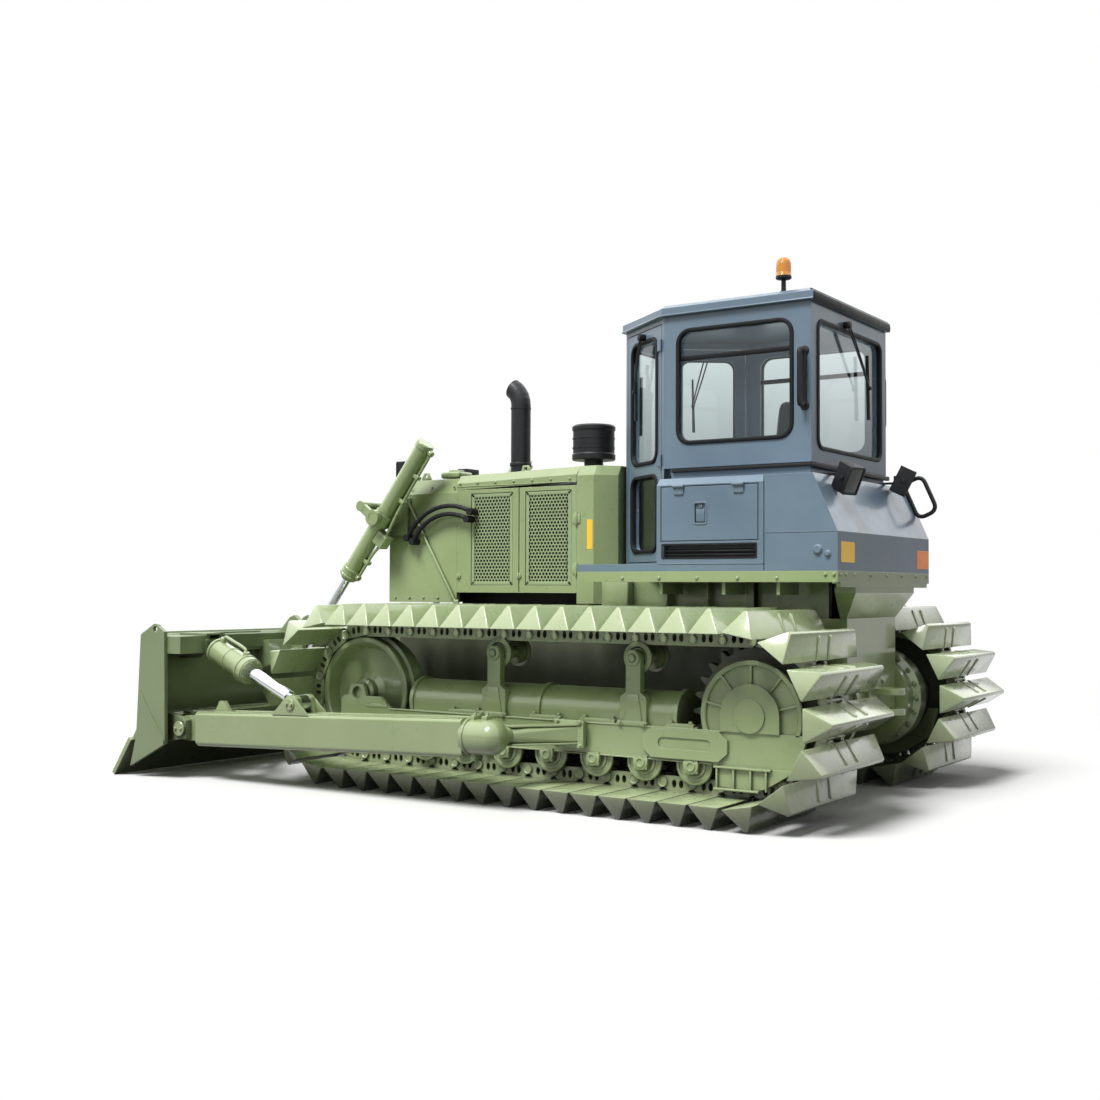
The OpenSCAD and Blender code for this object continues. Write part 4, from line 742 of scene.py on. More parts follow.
# A closed moulding round a window: outline, inset to a ring, pulled to its depth and rounded
def ringPiece(window, lap, band, deep, proud, rim, place):
    piece = outlinePiece([(x, proud * mm, z) for x, z in roundedOutline(*window, lap)])
    bpy.ops.mesh.inset(thickness=band * mm)
    bpy.ops.mesh.delete(type="FACE")
    bpy.ops.mesh.select_all(action="SELECT")
    bpy.ops.mesh.extrude_region_move(TRANSFORM_OT_translate={"value": (0, -deep * mm, 0)})
    endOutward()
    piece.data.transform(place)
    return softenEdges(piece, rim * mm, 3, 40)


def makeSeals():
    c = cab
    deep = c["wall"] * 0.55 + c["sealProud"]  # the inner part of the wall stays bare
    made = {}
    for name, window, place in (("sideLeft", c["sideWindow"], leftWall), ("rear", c["rearWindow"], rearWall),
                                ("front", c["frontWindow"], frontWall), ("upperLeft", c["doorUpper"], leftNose),
                                ("lowerLeft", c["doorLower"], leftNose)):
        made[name] = ringPiece(window, c["sealLap"], c["sealBand"], deep, c["sealProud"], 9, place)
    x0, x1 = c["sideWindow"][0], c["sideWindow"][1]
    bar = block(x0 - 4, c["half"] - 44, 2908, x1 + 4, c["half"] - 8, 2938, 5)
    made["sideLeft"] = joined([made["sideLeft"], bar])
    for name in ("sideLeft", "upperLeft", "lowerLeft"):
        made[name.replace("Left", "Right")] = mirrored(made[name])
    doors = {height + word.title(): "door_" + word for height in ("upper", "lower") for word, side in sides}
    for name, piece in made.items():
        finishPiece([piece], "windowSeal_" + name, sealRubber, doors.get(name, "machine"))


makeSeals()
print("window seals made")


# A wiper: motor cap, two-bar arm and a rubber blade with its spine
def wiperPiece(pivot, elbow, bladeTop, bladeLow, outward):
    out = Vector(outward)
    lift = out * 0.028
    parts = [barPiece(pivot - out * 0.01, pivot + out * 0.045, 0.024, 0.004, 20)]
    side = (elbow - pivot).cross(out).normalized() * 0.014
    for shift in (side, -side):
        middle = (pivot + elbow) / 2 + lift + shift + out * 0.008
        parts.append(tubePiece([pivot + lift + shift, middle, elbow + lift + shift * 0.3], 0.0055, True, 3))
    parts.append(barPiece(elbow + lift * 0.5, elbow + lift * 1.5, 0.013, 0.003, 16))
    along = (bladeTop - bladeLow).normalized()
    across = along.cross(out).normalized()
    for width, thick, depth in ((0.011, 0.009, 0.018), (0.004, 0.016, 0.004)):
        corners = [bladeLow + across * width, bladeTop + across * width * 0.6, bladeTop - across * width * 0.6,
                   bladeLow - across * width]
        parts.append(platePiece([p + out * depth for p in corners], out * thick, 0.002, 1))
    return joined(parts)


def makeWipers():
    # pivot, elbow, and the blade's top and foot
    for name, x, outward, spots in (
            ("rearWiper", -98, (-1, 0, 0), ((110, 3135), (-262, 2760), (-250, 2985), (-275, 2545))),
            ("frontWiper", 1482, (1, 0, 0), ((150, 3125), (40, 2720), (40, 2930), (45, 2500)))):
        wiper = wiperPiece(*[at(x, y, z) for y, z in spots], outward)
        finishPiece([wiper], name, blackPlastic)
    spots = ((316, 3128), (420, 2760), (425, 2960), (415, 2560))
    outward = leftNose.to_3x3() @ Vector((0, 1, 0))
    left = wiperPiece(*[leftNose @ Vector((x * mm, 0.003, z * mm)) for x, z in spots], outward)
    right = mirrored(left)
    finishPiece([left], "doorWiper_left", blackPlastic, "door_left")
    finishPiece([right], "doorWiper_right", blackPlastic, "door_right")


makeWipers()
print("wipers made")


def makeRoofTrim():
    c = cab
    half, nose, over = c["half"], c["noseHalf"], c["roofOver"]
    # dark visor under the roof's rear edge, rolled at its lip
    rear = c["back"] - over
    lip = ((-4, 3212), (-8, 3236), (-4, 3262), (14, 3284), (26, 3284), (4, 3256), (4, 3206))
    y = half + over - 6
    visor = platePiece([at(rear + x, -y, z) for x, z in lip], (0, 2 * y * mm, 0), 0.003)
    finishPiece([visor], "roofVisor", sealRubber)
    # drip rail along the left, right and nose edges
    z, edge, front = c["dripZ"], half + over, c["front"] + over
    run = [at(rear, edge, z), at(c["sideEnd"] + 8, edge, z), at(front + 5, nose + 7, z)]
    left = joined([barPiece(a, b, 0.007, 0.002, 12) for a, b in zip(run, run[1:])])
    rails = [left, mirrored(left), barPiece(at(front, -nose - 12, z), at(front, nose + 12, z), 0.007, 0.002, 12)]
    finishPiece(rails, "dripRail", greyEnamel)
    # dark ledge below the side and rear windows where cab and boxes meet
    high = c["floor"] - 6
    strip = [block(c["back"] - 8, y - 10, high - 22, c["sideEnd"] - 60, y + 10, high)
             for y in (half - 2, 2 - half)]
    strip.append(block(c["back"] - 26, -half - 8, high - 30, c["back"] + 6, half + 8, high, 6))
    finishPiece(strip, "cabLedge", blackPlastic)


makeRoofTrim()
print("roof trim made")


# amber dome: ribbed polycarbonate over a lamp
amberPlastic = linedCoat("amberPolycarbonate", {
    "deep": "#E98A0A", "light": "#F8B21E", "along": "Z", "scale": 60.0, "bump": 0.35, "depth": 0.002,
    "surface": {"Roughness": 0.16, "IOR": 1.58, "Transmission_Weight": 0.25, "Emission_Color": "#F09A10",
                "Emission_Strength": 0.12}})


def makeBeacon():
    foot = moved(133, 564, cab["roofTop"])
    dome = turnedPiece([(axis, 116), (49.5, 116), (49.5, 132), (47.5, 136), (49, 140), (47.8, 160), (49, 163),
                        (47.4, 184), (48.4, 188), (45.5, 206), (42.5, 219), (29, 233), (14, 237.6), (axis, 238.2)],
                       foot, 40)
    finishPiece([dome], "beaconDome", amberPlastic, sharp=50)
    base = turnedPiece([(axis, 0.5), (34, 0.5), (34, 10), (28, 14), (16, 20), (15, 90), (30, 94), (47, 97), (51, 101),
                        (51, 113), (48, 117), (axis, 117)], foot, 40)
    finishPiece([base], "beaconBase", blackPlastic)
    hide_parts("beacon")


makeBeacon()
print("beacon made")

# Seat: moulded base, padded cushion and back, armrests

seatLook = {"x": 425, "floor": 1559.6, "cap": 0.012, "grain": 0.009, "frames": 20, "channel": 0.02, "stitch": 0.009,
            "lean": -8}


# woven seat cloth: a dark twill, threads 2 mm apart drawn 6 mm so that they show
seatTwill = linedCoat("seatTwill", {
    "deep": "#17191C", "light": "#2B2E33", "along": "DIAGONAL", "scale": 52.0, "wander": 0.6, "patch": 7.0,
    "bump": 0.3, "depth": 0.001, "surface": {"Roughness": 0.82, "Sheen_Weight": 0.25, "Sheen_Roughness": 0.5}})


# Blown up like a sewn pad: voxel remesh, then cloth under pressure with each point held near its start
def swellPad(piece, cap):
    applied(piece, "REMESH", mode="VOXEL", voxel_size=seatLook["grain"])
    start = [v.co.copy() for v in piece.data.vertices]
    cloth = piece.modifiers.new("pad", "CLOTH")
    cloth.settings.use_pressure = True
    cloth.settings.uniform_pressure_force = 4.0
    cloth.settings.effector_weights.gravity = 0.0
    cloth.settings.quality = 4
    cloth.point_cache.frame_start, cloth.point_cache.frame_end = 1, seatLook["frames"]
    for step in range(seatLook["frames"]):
        bpy.context.scene.frame_set(step + 1)
    bpy.ops.object.modifier_apply(modifier="pad")
    for v, home in zip(piece.data.vertices, start):
        move = v.co - home
        if move.length > cap:
            v.co = home + move * (cap / move.length)
    bpy.context.scene.frame_set(1)
    return applied(piece, "SMOOTH", iterations=4)


def padBlock(low, high, rim, channels):
    pad = boxPiece(low, high, rim, 4)
    openAll(pad)
    bpy.ops.mesh.subdivide(number_cuts=6)
    endEdit()
    swellPad(pad, seatLook["cap"])
    # sewn channels, pulled in after the swelling
    centre = sum((Vector(c) for c in pad.bound_box), Vector()) / 8
    for v in pad.data.vertices:
        for line in channels:
            near = abs(v.co.y - line) / seatLook["channel"]
            if near < 1:
                v.co += (centre - v.co).normalized() * seatLook["stitch"] * (1 - near) ** 2
    return pad


def makeSeat():
    x, z = seatLook["x"], seatLook["floor"]
    cushion = padBlock(at(x - 175, -232, z + 392), at(x + 280, 232, z + 488), 0.04, (-0.11, 0.11))
    finishPiece([cushion], "seatCushion", seatTwill, sharp=60)
    back = padBlock(at(x - 60, -222, z + 470), at(x + 40, 222, z + 1105), 0.045, (-0.1, 0.1))
    lean = turned(seatLook["lean"], "Y")
    back.data.transform(moved(x - 60, 0, z + 470) @ lean @ Matrix.Translation(-at(x - 10, 0, z + 470)))
    finishPiece([back], "seatBack", seatTwill, sharp=60)
    parts = [block(x - 170, -210, z + 1, x + 220, 210, z + 60, 12),
             block(x - 120, -160, z + 55, x + 170, 160, z + 330, 30, 3),
             block(x - 190, -225, z + 325, x + 270, 225, z + 396, 20, 3)]
    for rib in range(5):  # rubber bellows round the suspension
        h = z + 80 + rib * 48
        parts.append(block(x - 140, -180, h, x + 190, 180, h + 26, 12, 3))
    for side in (-1, 1):
        parts.append(block(x - 150, side * 295 - 35, z + 590, x + 215, side * 295 + 35, z + 640, 18, 3))
        parts.append(block(x - 140, side * 295 - 30, z + 385, x + 190, side * 295 + 30, z + 592, 20, 3))
    base = finishPiece(parts, "seatBase", blackPlastic)
    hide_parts("seat")


makeSeat()
print("seat made")

# Hood: perforated screens, trim, bands and lamps

hood = {
    "bays": ((1808, 2206), (2322, 2704)), "low": 1408, "high": 2092, "holePitch": 28.5, "holeRadius": 9.8,
    "gauge": 3, "sheetY": 494, "backY": 487.5, "top": 2268, "fall": 50, "rear": 1500, "front": 3505,
}


def hoodTop(x):
    return hood["top"] - hood["fall"] * (x - hood["rear"]) / (hood["front"] - hood["rear"])


# One six-sided cell of sheet with a round hole, repeated over a bay
def screenCell():
    pitch, hole = hood["holePitch"] * mm, hood["holeRadius"] * mm
    points = []
    for i in range(12):  # six corners and the middles between them
        turn = math.radians(30 * i + 30)
        reach = pitch / 2 / (1.0 if i % 2 else math.cos(math.radians(30)))
        points.append((reach * math.cos(turn), 0, reach * math.sin(turn)))
    cell = outlinePiece(points)
    bpy.ops.mesh.inset(thickness=pitch / 2 - hole)
    bpy.ops.transform.tosphere(value=1.0)
    bpy.ops.mesh.delete(type="FACE")
    endEdit()
    return cell


def makeScreens():
    cell = screenCell()
    pitch = hood["holePitch"]
    rise = pitch * math.cos(math.radians(30))
    low, high = hood["low"], hood["high"]
    rows = int((high - low - 24) / rise)
    sheets, backs, rims = [], [], []
    for x0, x1 in hood["bays"]:
        columns = int((x1 - x0 - 30) / pitch)
        firstX = (x0 + x1) / 2 - (columns - 1) * pitch / 2
        firstZ = (low + high) / 2 - (rows - 1) * rise / 2
        cells = []
        for row in range(rows):
            for column in range(columns - row % 2):
                spot = at(firstX + (column + 0.5 * (row % 2)) * pitch, hood["sheetY"], firstZ + row * rise)
                cells.append(twin(cell, Matrix.Translation(spot)))
        sheet = joined(cells)
        openAll(sheet)
        bpy.ops.mesh.remove_doubles(threshold=0.0002)
        endOutward()
        sheets.append(applied(sheet, "SOLIDIFY", thickness=hood["gauge"] * mm, offset=0))
        # plain margin that covers the pattern's ragged edge
        place = moved(0, hood["sheetY"] + 2.5, 0)
        rims.append(ringPiece((x0 + 2, x1 - 2, low + 2, high - 2, 8), 0, 26, 4, 0, 1.5, place))
        # a dark sheet just behind each screen: painted shade of the bay behind it
        backs.append(block(x0 + 3, hood["backY"] - 1, low + 3, x1 - 3, hood["backY"], high - 3, 0.3, 1))
    bpy.data.objects.remove(cell)
    finishPair(sheets + rims, "screenSheet", oliveSheet)
    finishPair(backs, "screenShade", engineIron)


# the enamel again on thin punched sheet, without the rounded-edge lookup that fine holes don't need
oliveSheet = plainCoat("olivePunchedSheet", {
    "deep": "#A2B486", "light": "#AEBE93", "rough": 0.38, "broad": 2.5, "fine": 140.0, "bump": 0.05})
makeScreens()
print("screens made")


def makeHoodTrim():
    parts = []
    # strut rod from the yoke plate to the frame, with flattened ends
    parts.append(barPiece(at(3314, 514, 2056), at(2834, 514, 1268), 0.011, 0.002, 16))
    for x, z in ((3314, 2056), (2834, 1268)):
        parts.append(block(x - 26, 501, z - 30, x + 26, 524, z + 30, 8, 3))
    # hinges and turn latches of the screen doors
    for z in (1883, 1521):
        parts.append(block(1728, 499, z - 34, 1790, 507, z + 34, 3))
        parts.append(barPiece(at(1760, 508, z - 44), at(1760, 508, z + 44), 0.010, 0.003, 16))
    for x in (2262, 2820):
        parts.append(barPiece(at(x, 498, 1475), at(x, 510, 1475), 0.022, 0.004, 20))
        parts.append(block(x - 5, 508, 1457, x + 5, 516, 1493, 2))
    # folded lip along the hood's seam, lower panel seam
    parts.append(block(1766, 499, 2146, 2838, 504, 2153, 2, 1))
    parts.append(block(1766, 499, 1352, 2838, 504, 1358, 2, 1))
    finishPair(parts, "hoodTrim", oliveEnamel)
    # filler cover and lifting lugs on top
    top = [block(2880, 250, hoodTop(2950) - 6, 3060, 430, hoodTop(2950) + 46, 18, 3),
           barPiece(at(2970, 340, hoodTop(2970) + 40), at(2970, 340, hoodTop(2970) + 62), 0.058, 0.006, 28)]
    for x, y in ((2300, 360), (2300, -360), (3200, 420), (3200, -420)):
        z = hoodTop(x)
        lug = platePiece([at(x + dx, y - 8, z + dz) for dx, dz in ((-50, -4), (50, -4), (24, 52), (-24, 52))],
                         (0, 0.016, 0))
        top.append(cutWith(lug, barPiece(at(x, y - 30, z + 26), at(x, y + 30, z + 26), 0.014, 0, 18)))
    finishPiece(top, "hoodTopFittings", oliveEnamel)
    spots = [(x, 500, 2172) for x in range(1820, 2840, 165)] + [(x, 500, 2152) for x in (2870, 3080, 3290, 3450)]
    spots += [(x, 500, 1310) for x in range(2880, 3480, 140)]
    boltPair("hoodBolts", spots, (0, 1, 0), 8)
    # clamp bands on the exhaust and the pre-cleaner's straps
    strap = [(152, -5), (157, -5), (158, 0), (157, 5), (152, 5)]
    bands = [turnedPiece(outline, moved(x, 150, z)) for outline, x, z in (
        (bandOutline(75, 83, -14, 14, 2, 4), 2500, 2330), ([(75, -6), (79, -6), (79, 6), (75, 6)], 2500, 2760),
        (bandOutline(70, 122, -8, 8, 4, 4), 2500, hoodTop(2500) + 8), (strap, 1840, 2420), (strap, 1840, 2490))]
    finishPiece(bands, "stackBands", blackEnamel)


makeHoodTrim()
print("hood trim made")


# clear lamp glass with prism lines, over a bright reflector
prismGlass = linedCoat("prismGlass", {
    "deep": "#AEB6BB", "light": "#E7ECEE", "along": "Y", "scale": 38.0, "bump": 0.5, "depth": 0.002,
    "surface": {"Roughness": 0.08, "IOR": 1.5, "Metallic": 0.35, "Coat_Weight": 0.6, "Coat_Roughness": 0.03}})
# unlit lamp behind tinted polycarbonate: glossy, near black
smokedGlass = plainCoat("smokedGlass", {
    "deep": "#14171A", "light": "#2A2E32", "rough": 0.12, "broad": 12.0, "fine": 60.0, "bump": 0.1})


# A work lamp: tapered housing, rim, lens and stirrup
def lampPiece(centre, ahead, width, height, deep):
    turn = Vector(ahead).to_track_quat("X", "Z").to_matrix().to_4x4()
    place = Matrix.Translation(centre) @ turn
    y, z = width / 2, height / 2
    shell = boxPiece((-deep * mm, -y * mm, -z * mm), (0, y * mm, z * mm), 0.001, 1)
    pickFaces(shell, lambda c, n: n.x < -0.9)
    bpy.ops.transform.resize(value=(1, 0.72, 0.66), center_override=(-deep * mm, 0, 0))
    endEdit()
    softenEdges(shell, 0.008, 2, 30)
    rim = ringPiece((-y, y, -z, z, 12), 3, 14, 16, 8, 4, turned(-90, "Z"))
    lens = boxPiece((-0.004, (9 - y) * mm, (9 - z) * mm), (0.003, (y - 9) * mm, (z - 9) * mm), 0.006, 3)
    ears = [s * (y + 4) * mm for s in (-1, 1)]
    stirrup = joined([boxPiece((-0.06, ear - 0.004, -0.015), (-0.03, ear + 0.004, 0.015), 0.002) for ear in ears])
    housing = joined([shell, rim, stirrup])
    for part in (housing, lens):
        part.data.transform(place)
    return housing, lens


lamps = {
    "rear": (-345, (130, 180, 105)), "rearSpots": {1: (580, 2060), -1: (-430, 2105)}, "rearTilt": (-0.85, 0.3, -0.45),
    "front": (3462, (164, 124, 95)), "frontY": 390, "frontRise": 94,
}


def makeLamps():
    housings, lenses, darkLenses = [], [], []
    for side in (-1, 1):
        # on the tank, leaning down, with a bracket to the cab's foot
        x, size = lamps["rear"]
        y, z = lamps["rearSpots"][side]
        lean, turn, drop = lamps["rearTilt"]
        housing, lens = lampPiece(at(x, y, z), (lean, side * turn, drop), *size)
        housings.append(housing)
        darkLenses.append(lens)
        # on the bonnet's nose
        x, size = lamps["front"]
        ahead, base = side * lamps["frontY"], hoodTop(3430)
        housing, lens = lampPiece(at(x, ahead, hoodTop(3505) + lamps["frontRise"]), (1, 0, 0), *size)
        housings.append(housing)
        lenses.append(lens)
        y -= side * 25
        housings.append(block(-262, y - 20, 2108, -76, y + 20, 2122))
        housings.append(block(-262, y - 20, z - 20, -248, y + 20, 2120 + max(0, z - 2060)))
        housings.append(block(3395, ahead - 20, base - 2, 3440, ahead + 20, base + 60, 5))
    shells = finishPiece(housings, "lampHousings", blackPlastic)
    finishPiece(lenses, "lampLenses", prismGlass)
    finishPiece(darkLenses, "rearLampLenses", smokedGlass)
    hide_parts("work_lamps")


makeLamps()
print("lamps made")

# Lift cylinders: pipes, clamps, port blocks and gland bolts on each tube

lift = {"x": 3452, "y": 650, "z": 1922.56, "tilt": 37.667, "tube": 65, "pipe": 0.012}


# Eight bolt heads round a gland, in the cylinder's own place
def glandBolts(reach, z, rise, radius, first):
    heads = []
    for i in range(8):
        turn = math.radians(45 * i + first)
        foot = Vector((reach * math.cos(turn), reach * math.sin(turn), z))
        heads.append(barPiece(foot, foot + Vector((0, 0, rise)), radius, 0.002, 6))
    return heads


def makeLiftTrim():
    back = -(lift["tube"] + 26) * mm
    # upper and lower pipe: distance behind the tube, as a share of back, and height
    runs = (((0.75, 0.668), (1, 0.655), (1, 0.60), (1, 0.1), (1.25, -0.02), (1.3, -0.10)),
            ((0.8, -0.52), (1, -0.505), (1, -0.44), (1, -0.25), (1.25, -0.19), (1.3, -0.16)))
    ports = (0.665, -0.515)
    for word, side in sides:
        place = moved(lift["x"], side * lift["y"], lift["z"]) @ turned(-lift["tilt"], "Y")
        parts = [tubePiece([(-0.04, 0, port)] + [(back * share, 0, z) for share, z in run], lift["pipe"], True, 4)
                 for port, run in zip(ports, runs)]
        for h in (0.45, 0.22, -0.36):  # pipe clamps
            parts.append(boxPiece((back - 0.022, -0.024, h - 0.016), (-0.05, 0.024, h + 0.016), 0.004))
        parts.append(boxPiece((back * 1.3 - 0.04, -0.045, -0.185), (-0.055, 0.045, -0.075), 0.008, 3))  # port block
        for h in ports:
            parts.append(barPiece((-0.05, 0, h), (back - 0.014, 0, h), 0.024, 0.004, 18))
        for z0, z1, r in ((655, 700, 72), (-560, -535, 80), (-500, -478, 78), (-585, -555, 58)):
            parts.append(turnedPiece(bandOutline(r - 24, r, z0, z1)))
        trim = settle(joined(parts + glandBolts(0.066, -0.56, -0.012, 0.008, 0)))
        trim.data.transform(place)
        finishPiece([trim], "liftPiping_" + word, oliveEnamel, "lift_tube_" + word)


makeLiftTrim()
print("lift cylinders dressed")

# Undercarriage: roller ends, collars, guards, spring-cover flanges

under = {
    "beamLow": 334.6, "beamTop": 540.6, "rollerX": [388 + 350 * i for i in range(7)], "rollerZ": 318.3,
    "carrierX": (805, 1880), "carrierZ": 954.8, "wheelZ": 636.56,
    "flanges": ((2900, 95), (2120, 130), (1460, 120), (1060, 130), (470, 95)),  # middle and half length
}


def rollerEnd():
    disc = turnedPiece([(axis, 0), (122, 0), (124, 4), (124, 20), (120, 25), (104, 27), (100, 22), (84, 22), (80, 30),
                        (64, 32), (60, 27), (axis, 27)], facingLeft(0, 1276, under["rollerZ"]), 40)
    return trimPast(disc, (0, 0, (under["beamLow"] - 1) * mm), (0, 0, 1))


def rollerCollar():
    z, half = under["rollerZ"], 52
    points = [at(-half, 1300, under["beamLow"] + 8), at(half, 1300, under["beamLow"] + 8)]
    turns = [math.radians(-15 * i) for i in range(13)]
    points += [at(half * math.cos(turn), 1300, z + half * math.sin(turn)) for turn in turns]
    cap = platePiece(points, (0, 0.050, 0), 0.005)
    outline = [(axis, 0), (34, 0), (34, 6), (31, 9), (20, 9), (17, 3), (axis, 3)]
    boss = turnedPiece(outline, facingLeft(0, 1348, z - 2), 24)
    return joined([cap, boss])


def makeRollerEnds():
    disc, collar = rollerEnd(), rollerCollar()
    parts = [twin(model, Matrix.Translation((x * mm, 0, 0))) for model in (disc, collar) for x in under["rollerX"]]
    for x in under["carrierX"]:  # carrier rollers: bearing cap and shaft nut
        for outline, y in (([(axis, 0), (50, 0), (50, 8), (46, 12), (30, 12), (27, 7), (axis, 7)], 1323),
                           (capOutline(22, 18, 4), 1329)):
            parts.append(turnedPiece(outline, facingLeft(x, y, under["carrierZ"]), 28))
    for model in (disc, collar):
        bpy.data.objects.remove(model)
    finishPair(parts, "rollerEnds", oliveEnamel)


makeRollerEnds()
print("roller ends made")


def makeFrameTrim():
    low, top, wheel = under["beamLow"], under["beamTop"], under["wheelZ"]
    parts = []
    for x, half in under["flanges"]:  # clamp blocks along the foot of the spring cover
        parts.append(block(x - half, 1296, top - 2, x + half, 1334, top + 26, 5))
        parts.append(block(x - half - 18, 1286, top - 6, x + half + 18, 1322, top + 9))
    # rim and spokes of the sprocket guard
    rim = turnedPiece([(296, 0), (330, 0), (331, 4), (331, 20), (326, 26), (304, 26), (298, 20)],
                      facingLeft(0, 1304, wheel), 72)
    parts.append(trimPast(rim, (0, 0, (top - 8) * mm), (0, 0, -1)))
    for angle in (14, 50, 90, 130, 166):
        spoke = boxPiece((0.186, -0.007, 0), (0.304, 0.007, 0.020), 0.003)
        spoke.data.transform(facingLeft(0, 1306, wheel) @ turned(-angle, "Z"))
        parts.append(spoke)
    # ribs and foot flange of the rear chain guard, gusset feet of the carrier posts
    for x in (205, 95, -15, -115):
        parts.append(block(x - 6, 1338, 204, x + 6, 1364, low - 4, 3))
    parts.append(block(-70, 1338, 194, 224, 1372, 208))
    parts.append(block(-146, 1338, low - 12, 226, 1368, low + 2))
    for x in under["carrierX"]:
        parts.append(block(x - 108, 1318, top - 4, x + 108, 1340, top + 22, 5))
        corners = ((-70, 560), (70, 560), (40, 730), (-40, 730))
        parts.append(platePiece([at(x + dx, 1322, z) for dx, z in corners], (0, 0.010, 0)))
    # flanged fork of the arm's trunnion, above and below its neck
    plan = ((1150, 1380), (1336, 1380), (1400, 1470), (1548, 1690), (1540, 1722), (1440, 1722), (1380, 1640))
    for z in (515, 400):
        parts.append(platePiece([at(x, y, z) for x, y in plan], (0, 0, 14 * mm)))
    parts.append(block(1128, 1376, 376, 1352, 1392, 552, 6))
    # weld runs along the beam's top and foot
    for x0, x1, z in ((150, 2780, top - 4), (250, 3150, low + 6)):
        parts.append(tubePiece([at(x0, 1331, z), at(x1, 1331, z)], 0.006, False, 2))
    finishPair(parts, "frameTrim", oliveEnamel)
    clamps = [(x + s * (half - 26), 1318, top + 26) for x, half in under["flanges"] for s in (-1, 1)]
    boltPair("flangeBolts", clamps, (0, 0, 1), 14)
    feet = [(x + dx, 1340, top + 9) for x in under["carrierX"] for dx in (-86, 86)]
    feet += [(x, 1392, z) for x in (1154, 1326) for z in (538, 390)]
    boltPair("frameBolts", feet, (0, 1, 0), 14)


makeFrameTrim()
print("track frame dressed")

# Push arms and blade: socket caps, pin plates, welds, tilt pipes, edge bolts

arm = {
    "pivot": (1490, 1865, 464.6), "pin": (4187.9, 1865, 367.6), "capRadius": 111, "capReach": 100, "hollow": 84,
    "tiltHead": (4199.9, 1715, 960), "tiltFoot": (3121.9, 1865, 591.6),
    "pins": ((4187.9, 1993, 367.6, 54), (3121.9, 1961, 591.6, 42), (4199.9, 1813, 960, 42), (4279.9, 763, 850, 50)),
}


def armFrame(side):
    ahead = at(*arm["pin"]) - at(*arm["pivot"])
    tilt = math.atan2(-ahead.z, ahead.x)
    x, y, z = arm["pivot"]
    return moved(x, side * y, z) @ Matrix.Rotation(tilt, 4, "Y")


def makeArmTrim():
    r = arm["capRadius"]
    along = turned(90, "Y")
    turns = [math.radians(10 * i) for i in range(1, 10)]
    outline = [(axis, 190), (r - 3, 190), (r, 186), (r, 0)]
    outline += [(r * math.cos(turn) + axis, -arm["capReach"] * math.sin(turn)) for turn in turns]
    cap = trimPast(turnedPiece(outline, along, 56), (0, -0.05, 0), (0, -1, 0))
    fresh()
    bpy.ops.mesh.primitive_uv_sphere_add(segments=32, ring_count=16, radius=arm["hollow"] * mm)
    cutWith(cap, bpy.context.object)
    softenEdges(cap, 0.004, 2, 50)
    parts = [cap]
    # clamp lugs of the cap, top and bottom, and the collar where it meets the arm
    for z, low, high in ((1, 0.085, 0.135), (-1, -0.135, -0.085)):
        for x in (0.03, 0.125):
            parts.append(boxPiece((x - 0.02, -0.03, low), (x + 0.02, 0.04, high), 0.006))
            parts.append(barPiece((x, 0.005, z * 0.13), (x, 0.005, z * 0.15), 0.013, 0.002, 6))
    parts.append(turnedPiece(bandOutline(100, 121, 148, 172), along, 48))
    # weld seams where the arm's plates meet
    for y in (-1, 1):
        for z in (-1, 1):
            parts.append(tubePiece([(0.19, y * 0.078, z * 0.118), (2.56, y * 0.078, z * 0.118)], 0.005, False, 2))
    left = joined(parts)
    right = mirrored(left)
    left.data.transform(armFrame(1))
    right.data.transform(armFrame(-1))
    finishPiece([left], "armFittings_left", oliveEnamel, "blade_frame")
    finishPiece([right], "armFittings_right", oliveEnamel, "blade_frame")
    # gussets beside the cheeks of the tilt cylinder's foot
    gussets = []
    outline = ((2950, 522), (3300, 512), (3176, 628), (3148, 650), (3096, 650), (3068, 628))
    for y in (1769, 1949):
        gussets.append(platePiece([at(x, y, z) for x, z in outline], (0, 0.012, 0)))
    gussets.append(block(2940, 1778, 516, 3310, 1952, 530))
    finishPair(gussets, "footGussets", oliveEnamel, "blade_frame")
    # pin plates with two bolts, on the outer faces
    plates, bolts = [], []
    for x, y, z, r in arm["pins"]:
        plates.append(turnedPiece(capOutline(r, 11, 4), facingLeft(x, y, z), 32))
        bolts += [(x - r * 0.5, y + 11, z), (x + r * 0.5, y + 11, z)]
    finishPair(plates, "pinPlates", oliveEnamel, "blade_frame")
    boltPair("pinBolts", bolts, (0, 1, 0), 10, "blade_frame")


makeArmTrim()
print("push arms dressed")

blade = {
    "edgeBoltPitch": 190, "edgeBoltRadius": 15, "half": 2060, "edgeHeights": (150, 105),
    "backSeams": (1040, 905, 470, 262), "seamRuns": ((-1600, -1000), (-520, 520), (1000, 1600)),
}


